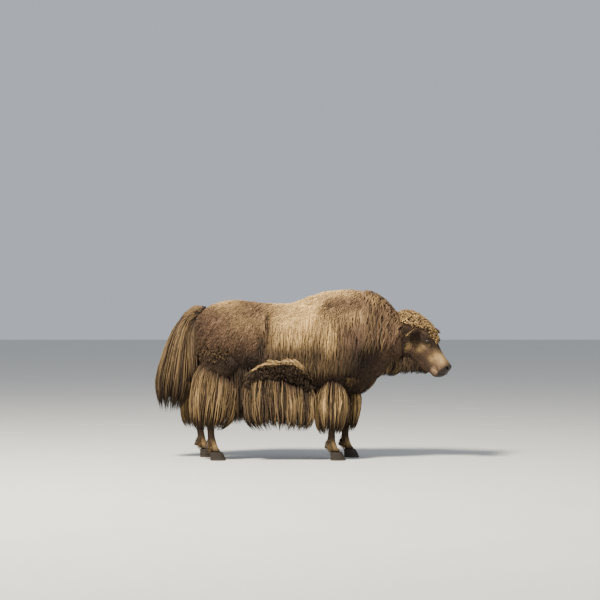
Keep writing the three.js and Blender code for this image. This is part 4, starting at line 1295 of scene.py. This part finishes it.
def long_locks(
    name, skin_at, count, cords, depth, arc=(0, TURN), bright=0.45, gold=0.8, brown=0.5,
    top=0.03, slope=0.0, crown=0.0, width=4.8, wave=0.035, lean=0.0, steps=6,
    fade=(0.25, 1.0, 0.85, 0.3), rear_shade=0.0,
):
    """Long locks: each roots at its own share of the way down and ends by the tips. It follows the form
    at its own angle and depth, both drawn towards its cord's as it nears the tip, with the cord's waves.
    Some stay under the cords, dark and spread, and close the gaps: they and the other sunk locks are
    darker, as painted shade between the cords. The top edge is lower in front by the slope, and lower
    before and behind by the crown, and the tips swing back by the lean. The fade is painted light and
    shade down the form, which the gold of the bleached cords follows, and the rear end of the form is
    darkened as painted shade."""
    first, last = arc
    step = (last - first) / cords
    cord_angle = first + step * (np.arange(cords) + 0.5 + rng.uniform(-0.35, 0.35, cords))
    cord_end = 1 + rng.uniform(-0.09, 0.03, cords)
    lit = rng.random(cords) < bright
    cord_sun = np.where(lit, rng.uniform(0.45, 1.0, cords), rng.uniform(0.0, 0.3, cords))
    # Painted shade at the rear end of the form.
    cord_sun = cord_sun * (1 - rear_shade * (1 - eased(np.cos(cord_angle), -0.98, -0.86)))
    cord_depth = depth * (rng.uniform(-0.4, -0.15, cords) + 0.2 * lit)
    cord_wave = wave * rng.uniform(0.4, 1.3, cords)
    cord_phase, cord_rate = rng.random(cords), rng.uniform(1.0, 2.4, cords)
    which = rng.integers(0, cords, count)
    pick = which[:, None]
    ahead = np.cos(cord_angle[which])
    top_edge = top + slope * eased(ahead, -0.6, 0.9) + crown * ahead**2
    own_start = top_edge + (1 - top_edge) * 0.45 * rng.random(count) ** 1.5
    own_end = cord_end[which] + rng.uniform(-0.10, 0.02, count)
    offset = rng.normal(0, 0.6, (count, 1)) * step
    under = rng.random((count, 1)) < 0.3
    sunk = np.where(under, 1, rng.random((count, 1)) ** 1.3)
    t = np.linspace(0, 1, steps)
    drawn = eased(t, 0.0, 0.9) * np.where(under, 0.1, 0.85)
    share = own_start[:, None] + (own_end - own_start)[:, None] * t
    sway = cord_wave[pick] * np.sin(TURN * (cord_rate[pick] * share + cord_phase[pick]))
    small = wave * 0.25 * np.sin(TURN * (3.1 * share + rng.random((count, 1))))
    angle = cord_angle[pick] + offset * (1 - drawn) + sway + small
    lift = -depth * sunk * (1 - drawn) + cord_depth[pick] * drawn
    lift = lift - 16 * (1 - eased(t, 0.0, 0.22)) + 3 * np.cos(TURN * cord_rate[pick] * share)
    path, outward = laid_on(skin_at, share, angle, lift)
    path[..., 0] -= lean * share**1.5
    # Painted light and shade down the form: lit at the top, in shade towards the tips.
    painted_light = np.interp(share, [0, 0.14, 0.5, 0.8, 1], [fade[0], fade[1], fade[1], fade[2], fade[3]])
    # Sunk locks are darker: painted shade between the cords.
    own_sun = np.clip(cord_sun[pick] + rng.normal(0, 0.22, (count, 1)), 0, 1) * (1 - 0.7 * sunk)
    sun = gold * own_sun * painted_light * eased(t, 0.0, 0.25)
    tone = (brown * (0.4 + 0.8 * own_sun) * (1 - 0.6 * sunk)) * (0.3 + 0.7 * painted_light)
    widths = width * rng.uniform(0.6, 1.4, count)
    root_uv = np.stack([0.01 + 0.98 * np.mod(angle[:, 0] / TURN, 1), 0.01 + 0.98 * own_start], -1)
    hair_piece(name, path, outward, widths, 0.45, root_uv, tone, sun)


# On the bells and breeches the fade is painted light at the top and painted shade towards the tips.
for label, side in SIDES:
    x, y, _ = FEET[f"fore_{label}"]
    long_locks(
        f"bell_{label}", hanging(BELL, (x, y, side)), 2100, 70, 34, top=0.06, crown=0.16, gold=0.74,
        bright=0.5, brown=0.42, fade=(0.8, 1.0, 0.28, 0.03),
    )
    x, y, _ = FEET[f"hind_{label}"]
    long_locks(
        f"breeches_{label}", hanging(BREECHES, (x, y, side)), 2600, 96, 44, slope=0.27, gold=0.40,
        bright=0.32, brown=0.4, width=5.0, lean=34, fade=(0.5, 0.9, 0.7, 0.1),
    )
    # The skirt's top is in painted shadow under the roll, and its rear end in painted shade.
    long_locks(
        f"skirt_{label}", hanging(SKIRT, (0, 0, side), SKIRT_SQUARE), 2300, 88, 26,
        arc=(-0.5, math.pi + 0.5), gold=0.46, bright=0.32, brown=0.4, top=0.10, slope=0.2,
        fade=(0.0, 0.65, 0.45, 0.0), rear_shade=0.85,
    )
    # The flank fringes are dark hair that fills the shade between breeches and skirt, dark as painted
    # shade.
    long_locks(
        f"flank_fringe_{label}", hanging(FLANK_FRINGE, ((x + 690) / 2, 0, side)), 900, 38, 40, gold=0.06,
        brown=0.22, width=6.0, lean=20,
    )
# The tail fringe, brisket and beard hang in shade and are dark, partly dark hair and partly painted
# shade.
long_locks("tail_fringe", hanging(TAIL_FRINGE), 900, 40, 30, gold=0.1, brown=0.22, width=6.0)
long_locks("brisket", hanging(BRISKET), 700, 30, 30, gold=0.08, brown=0.24, top=0.1, width=5.0)
long_locks("throat", hanging(THROAT), 1000, 36, 30, gold=0.3, brown=0.3, wave=0.07, width=5.0)
long_locks("beard", hanging(BEARD), 1300, 44, 24, gold=0.05, brown=0.2, wave=0.05)


# Tail
# An arched stem of flesh in short hair that widens into a long brush of locks, golden at its top, partly
# bleached hair and partly painted light, and dark within as painted shade. It is rooted in the rump and
# hangs free behind the legs.

# The middle of the tail, from its root to its tip: x, z.
TAIL_LINE = np.array([
    [-770, 1180], [-850, 1196], [-930, 1140], [-988, 1010], [-1018, 860], [-1042, 700], [-1078, 400],
], float)
# Columns: share of the way, half depth, half width.
TAIL = np.array([
    [0, 26, 34],
    [0.15, 44, 42],
    [0.35, 88, 68],
    [0.55, 124, 90],
    [0.8, 146, 100],
    [1, 92, 66],
])
tail_way = np.concatenate([[0], np.cumsum(np.hypot(*np.diff(TAIL_LINE, axis=0).T))])
TAIL_LENGTH = tail_way[-1]
TAIL_ROWS = np.column_stack([tail_way / TAIL_LENGTH, TAIL_LINE])


def tail_skin(share, angle, lift):
    """Tail: a ring across the arched line at a share of its length, deep along X and wide along Y."""
    share = np.asarray(share, float)
    t = np.clip(share, 0, 1)
    _, x, z = row_at(TAIL_ROWS, t)
    _, ahead_x, ahead_z = row_at(TAIL_ROWS, np.minimum(t + 0.01, 1))
    _, back_x, back_z = row_at(TAIL_ROWS, np.maximum(t - 0.01, 0))
    way = unit(np.stack([ahead_x - back_x, ahead_z - back_z], -1))
    _, deep, wide = row_at(TAIL, t)
    reach = (deep + lift) * np.cos(angle)
    extra = (share - t) * TAIL_LENGTH
    return np.stack([
        x + way[..., 1] * reach + way[..., 0] * extra,
        (wide + lift) * np.sin(angle),
        z - way[..., 0] * reach + way[..., 1] * extra,
    ], -1)


long_locks(
    "tail_brush", tail_skin, 2900, 100, 60, gold=0.31, bright=0.32, brown=0.35, width=5.4, steps=7,
    fade=(1.0, 0.8, 0.35, 0.1),
)
stem_form = lofted(np.linspace(0, 0.42, 30), 24, lambda s, a: tail_skin(s, a, -12))
stem = solid("tail_stem", [stem_form])
blank = np.zeros(len(stem.data.vertices))
attributes(stem.data, tone=blank + 0.6, sun=blank)
stem.data.materials.append(skin.data.materials[0])
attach(stem, "root")
STEM_TUFTS = 1500
STEM_BED = -14  # the stem's hair is rooted so far under the brush
share, turn = rng.uniform(-0.01, 0.16, STEM_TUFTS), rng.uniform(0, TURN, STEM_TUFTS)
roots = tail_skin(share, turn, STEM_BED)
normals = unit(tail_skin(share, turn, 0) - roots)
lie = unit(tail_skin(share + 0.03, turn, STEM_BED) - roots) + rng.normal(0, 0.12, (STEM_TUFTS, 3))
lengths = 70 * rng.uniform(0.7, 1.3, STEM_TUFTS)
lift = 11 * rng.uniform(0.5, 1.4, STEM_TUFTS)
bend = rng.normal(0, 0.16, STEM_TUFTS)
spread = rng.uniform(0.7, 1.3, (STEM_TUFTS, 1)) * np.array([0.8, 0.95, 1.1, 1.2])
widths = 5.4 * rng.uniform(0.6, 1.4, STEM_TUFTS)
marks = (spread * 0.6, spread * 0.14)
tufts("tail_root", roots, normals, lie, lengths, lift, bend, widths, marks, body_map)


# Neck and barrel
# Hair longer than the short coat, laid on the body: fine wavy cords hang from the crest down both sides
# of the neck, leaning back, and straighter ones down the lower barrel. They part from the short coat
# little by little.


def draped(side, first, long, high, low, lean):
    """One side of the trunk: along it from first by the angle, a full turn for its length, and down it
    by the share, between two angles from the crest, leaning back as it falls."""

    def skin_at(share, angle, lift):
        place = np.minimum(first + long * angle / TURN - lean * share, DRAPE_END)
        return trunk_skin(place, math.pi / 2 - side * (high + (low - high) * share), lift)

    return skin_at


DRAPE_END = 850  # the neck's locks go no further forward than this


def laid_locks(name, skin_at, count, cords, length, depth, width, wave, rate, contrast=0.6, steps=6):
    """Locks that lie on the body: each roots anywhere down its cord and follows it for its length. It
    takes the coat's markings from where it lies, parted by cord the more the further from the edge."""
    cord_angle = TURN * (np.arange(cords) + 0.5 + rng.uniform(-0.35, 0.35, cords)) / cords
    cord_lit = rng.uniform(-1, 1, cords)
    cord_phase, cord_rate = rng.random(cords), rate * rng.uniform(0.7, 1.3, cords)
    which = rng.integers(0, cords, count)
    pick = which[:, None]
    start = -0.05 + (1.05 - length) * np.sqrt(rng.random(count))
    long = length * rng.uniform(0.6, 1.2, count)
    t = np.linspace(0, 1, steps)
    share = start[:, None] + long[:, None] * t
    drawn = eased(t, 0, 1) * 0.8
    offset = rng.normal(0, 0.6, (count, 1)) * TURN / cords
    wavy = np.sin(TURN * (cord_rate[pick] * share + cord_phase[pick]))
    angle = cord_angle[pick] + offset * (1 - drawn) + wave * wavy
    angle = angle + rng.normal(0, 0.3 * wave, (count, 1))
    inside = eased(np.minimum(angle, TURN - angle), 0, 1.6) * eased(share, -0.05, 0.3)
    outside = rng.random((count, 1))
    lift = depth * eased(t, 0, 0.5) * (0.35 + 0.65 * outside) * (0.3 + 0.7 * inside)
    lift = lift * (1 + 0.35 * cord_lit[pick]) - 10 * (1 - eased(t, 0, 0.25))
    path, outward = laid_on(skin_at, share, angle, lift)
    tone, sun = markings(path)
    parting = contrast * inside * (cord_lit[pick] - 0.2) + 0.2 * rng.uniform(-1, 1, (count, 1))
    shade = 1 - 0.4 * (1 - outside) * inside
    widths = width * rng.uniform(0.6, 1.4, count)
    hair_piece(
        name, path, outward, widths, 0.4, body_map(path[:, 0]),
        tone * (1 + 0.8 * parting) * shade, (sun + 0.06 * inside) * (1 + 1.3 * parting) * shade,
    )


for label, side in SIDES:
    laid_locks(
        f"neck_{label}", draped(side, 520, 318, -0.1, 1.75, 110), 2000, 32, length=0.2, depth=13,
        width=4.5, wave=0.16, rate=5.0,
    )
    laid_locks(
        f"flank_hair_{label}", draped(side, -340, 800, 0.85, 2.2, 14), 2100, 100, length=0.24, depth=7,
        width=4.2, wave=0.03, rate=3.0, contrast=0.35, steps=5,
    )


# Matted wool
# Ringlets of wool set close together: on the poll and forehead, in a roll along the top of each skirt, on
# the thighs above the breeches and on the arms above the bells. Each is a few strands wound together,
# rooted in the skin or in the roll.


STRANDS = 4
STRAND_STEPS = 6


def ringlets(name, roots, normals, lie, radius, length, turns, width, tone, sun, map_of):
    """Ringlets: the strands of each wind together round an axis that leaves the skin along the lie and
    a little outwards. Their radius falls from root to tip, and their light towards the inside."""
    count, flat = len(roots), len(roots) * STRANDS
    axis = unit(laid_flat(lie, normals) + normals * 0.4)
    aside = unit(np.cross(normals, axis))
    over = np.cross(axis, aside)
    t = np.linspace(0, 1, STRAND_STEPS)
    own = radius * rng.uniform(0.75, 1.25, (count, 1, 1))
    long = length * rng.uniform(0.7, 1.3, (count, 1, 1))
    hand = np.where(rng.random((count, 1, 1)) < 0.5, -1, 1)
    begin = rng.uniform(0, TURN, (count, 1, 1)) + rng.normal(0, 0.75, (count, STRANDS, 1))
    swing = begin + hand * turns * TURN * t * rng.uniform(0.8, 1.2, (count, 1, 1))
    reach = own * (1 - 0.45 * t) * rng.uniform(0.6, 1.1, (count, STRANDS, 1))
    forward = long * t + rng.normal(0, 2.5, (count, STRANDS, 1))
    ring = np.cos(swing)[..., None] * over[:, None, None]
    ring = ring + np.sin(swing)[..., None] * aside[:, None, None]
    centre = roots[:, None, None] + axis[:, None, None] * forward[..., None]
    sink = (radius * 0.75 * eased(t, 0, 0.2) - 3)[:, None]
    path = centre + ring * reach[..., None] + normals[:, None, None] * sink
    shade = 0.55 + 0.45 * eased(np.cos(swing), -0.6, 0.8)
    spread = rng.uniform(0.75, 1.25, (count, 1, 1))
    widths = width * rng.uniform(0.7, 1.3, flat)
    path, ring = path.reshape(flat, -1, 3), ring.reshape(flat, -1, 3)
    tone, sun = ((marks[:, None, None] * shade * spread).reshape(flat, -1) for marks in (tone, sun))
    uv = map_of(np.repeat(roots, STRANDS, 0))
    hair_piece(name, path, ring, widths, 0.45, uv, tone, sun, (0.8, 1.0, 0.6))


WOOL_RINGLETS = 800
roots, normals = roots_on_skin(wool_share * 1.0, WOOL_RINGLETS)
tone = 1.0 + 0.25 * drift(roots, 60, 5)
sun = 0.38 + 0.28 * drift(roots, 50, 6)
lie = ALONG * 0.5 - np.array([0, 0, 0.5]) + rng.normal(0, 0.8, (WOOL_RINGLETS, 3))
ringlets("forelock", roots, normals, lie, 9, 32, 1.3, 3.8, tone, sun, head_map)

ROLL_RINGLETS = 250
ROLL_STRANDS = 260
ROLL_REAR = -470
ROLL_FRONT = 70
ROLL_MIDDLE = -155  # where its rim is highest
ROLL_CREST = 806  # and how high that is
ROLL_HIGH = 90  # from its rim to its lower edge, at the rear
ROLL_OUT = 296  # how far its lower edge hangs out


def roll_skin(side, x, down, lift):
    """The roll: a band on the barrel, its rim falling from its middle with the square of the distance,
    more to the front, where the band is deeper. Its lower part hangs as far out as the skirt."""
    _, _, low, mid, _, _, _ = row_at(TRUNK, x)
    fall = np.where(x > ROLL_MIDDLE, 200, 110) * ((x - ROLL_MIDDLE) / 300) ** 2
    z = ROLL_CREST - fall - (ROLL_HIGH + 50 * eased(x, -330, -160)) * down
    angle = np.arcsin(np.clip((z - mid) / (mid - low), -1, 1))
    spots = trunk_skin(x, angle if side > 0 else math.pi - angle, lift)
    hung = ROLL_OUT + lift - 42 * (1 - down)
    spots[..., 1] = side * np.maximum(side * spots[..., 1], hung)
    return spots


def roll_roots(side, count):
    """Places on the roll, spread evenly, and the way it faces there."""
    x = rng.uniform(ROLL_REAR, ROLL_FRONT, count)
    down = rng.random(count)
    roots = roll_skin(side, x, down, 1 + 13 * np.sin(math.pi * down))
    return roots, unit(roll_skin(side, x, down, 30) - roll_skin(side, x, down, 0)), down


for label, side in SIDES:
    roots, normals, down = roll_roots(side, ROLL_RINGLETS)
    # Painted light on the roll's rim and painted shade below it: the ringlets are lighter near the rim
    # and darker further down.
    edge = 1 - eased(down, 0.0, 0.16)
    tone, sun = 0.16 + 0.3 * edge, 0.01 + 0.14 * edge
    lie = np.array([-0.3, 0, -0.8]) + rng.normal(0, 0.7, (ROLL_RINGLETS, 3))
    ringlets(f"roll_{label}", roots, normals, lie, 10, 36, 1.4, 4.4, tone, sun, body_map)
    t = np.linspace(0, 1, 7)
    x = rng.uniform(ROLL_REAR + 50, ROLL_FRONT - 90, (ROLL_STRANDS, 1))
    x = x + rng.uniform(40, 80, (ROLL_STRANDS, 1)) * t
    wave = np.sin(x / 17 + rng.uniform(0, TURN, (ROLL_STRANDS, 1)))
    down = rng.normal(0, 0.06, (ROLL_STRANDS, 1)) + 0.04 * wave + 0.07 * np.sin(x / 43) + 0.1 * t
    lift = 15 * np.sin(math.pi * np.clip(t, 0.02, 0.9)) + rng.uniform(-6, 3, (ROLL_STRANDS, 1))
    path, outward = laid_on(lambda x, down, lift: roll_skin(side, x, down, lift), x, down, lift)
    # Painted light on the rim: each strand of the rim is lightened by a random amount.
    painted_light = 0.4 * rng.uniform(0.0, 1.6, (ROLL_STRANDS, 1)) * np.ones_like(x)
    widths = 3.4 * rng.uniform(0.6, 1.4, ROLL_STRANDS)
    uv = body_map(path[:, 0])
    hair_piece(f"roll_rim_{label}", path, outward, widths, 0.45, uv, painted_light + 0.3, painted_light)

# Columns: name, leg, x from the hoof's centre, z, reach along x, reach along z, how many, tone, sun.
MATS = [
    ["thigh", "hind", -50, 860, 110, 60, 120, 0.26, 0.05],
    ["arm", "fore", 112, 650, 40, 20, 40, 0.34, 0.08],
]
for name, leg, ahead, height, long, high, count, tone, sun in MATS:
    for label, side in SIDES:
        foot_x, foot_y, _ = FEET[f"{leg}_{label}"]
        patch = bell((middles[:, 0] - foot_x - ahead) / long) * bell((middles[:, 2] - height) / high)
        roots, normals = roots_on_skin(patch * (middles[:, 1] * side > 90), count)
        lie = np.array([-0.2, 0, -1.0]) + rng.normal(0, 0.7, (count, 3))
        ringlets(
            f"{name}_mat_{label}", roots, normals, lie, 10, 36, 1.4, 4.0, np.full(count, tone),
            np.full(count, sun), body_map,
        )


# Floor, light and camera
# A plain pale floor, a warm soft light from the sun's side and a weak cool one from the front, and a
# camera that looks nearly level from about the height of the back, framed as in the photograph.

floor_mesh = mesh_of(
    "floor", np.array([[-30, -30, 0], [30, -30, 0], [30, 60, 0], [-30, 60, 0]], float),
    np.array([[0, 1, 2, 3]]), np.zeros((0, 3), int),
)
floor = shown("floor", floor_mesh)
floor_finish = Finish("floor")
floor_tint = floor_finish.mix(
    floor_finish.noise(1.5, 3.0), (0.60, 0.59, 0.56, 1), (0.66, 0.65, 0.62, 1),
)
floor.data.materials.append(floor_finish.done({"Base Color": floor_tint, "Roughness": 0.9}))
world = bpy.data.worlds.new("studio")
world.use_nodes = True
world.node_tree.nodes["Background"].inputs["Color"].default_value = (0.80, 0.86, 0.95, 1)
world.node_tree.nodes["Background"].inputs["Strength"].default_value = 0.6
bpy.context.scene.world = world


def area_light(name, place, target, size, watts, colour):
    """A square soft light at a place in metres, turned to a target."""
    light = bpy.data.lights.new(name, "AREA")
    light.size = size
    light.energy = watts
    light.color = colour
    lamp = bpy.data.objects.new(name, light)
    lamp.location = place
    lamp.rotation_euler = (Vector(target) - Vector(place)).to_track_quat("-Z", "Y").to_euler()
    bpy.context.scene.collection.objects.link(lamp)


area_light("sun_side", (-3.4, -4.8, 8.0), (0, 0, 0.8), 1.8, 2800, (1.0, 0.93, 0.80))
area_light("front_fill", (5.0, -7.0, 3.0), (0.2, 0, 0.8), 4.0, 130, (0.9, 0.95, 1.0))

VIEW_DISTANCE = 14.0
VIEW_HEIGHT = 1.1855
VIEW_BACK = 0.0283  # how far behind the animal's zero the camera stands
VIEW_TILT = 0.397  # degrees above level
PHOTO_WIDTH = 600  # pixels
FOCAL_LENGTH = 1730  # in the photograph's pixels
camera_data = bpy.data.cameras.new("camera")
camera_data.sensor_width = 36
camera_data.lens = FOCAL_LENGTH / PHOTO_WIDTH * camera_data.sensor_width
camera_data.clip_end = 200
camera = bpy.data.objects.new("camera", camera_data)
camera.location = (SHIFT[0] - VIEW_BACK, SHIFT[1] - VIEW_DISTANCE, VIEW_HEIGHT)
camera.rotation_euler = (math.radians(90 + VIEW_TILT), 0, 0)
bpy.context.scene.collection.objects.link(camera)
bpy.context.scene.camera = camera
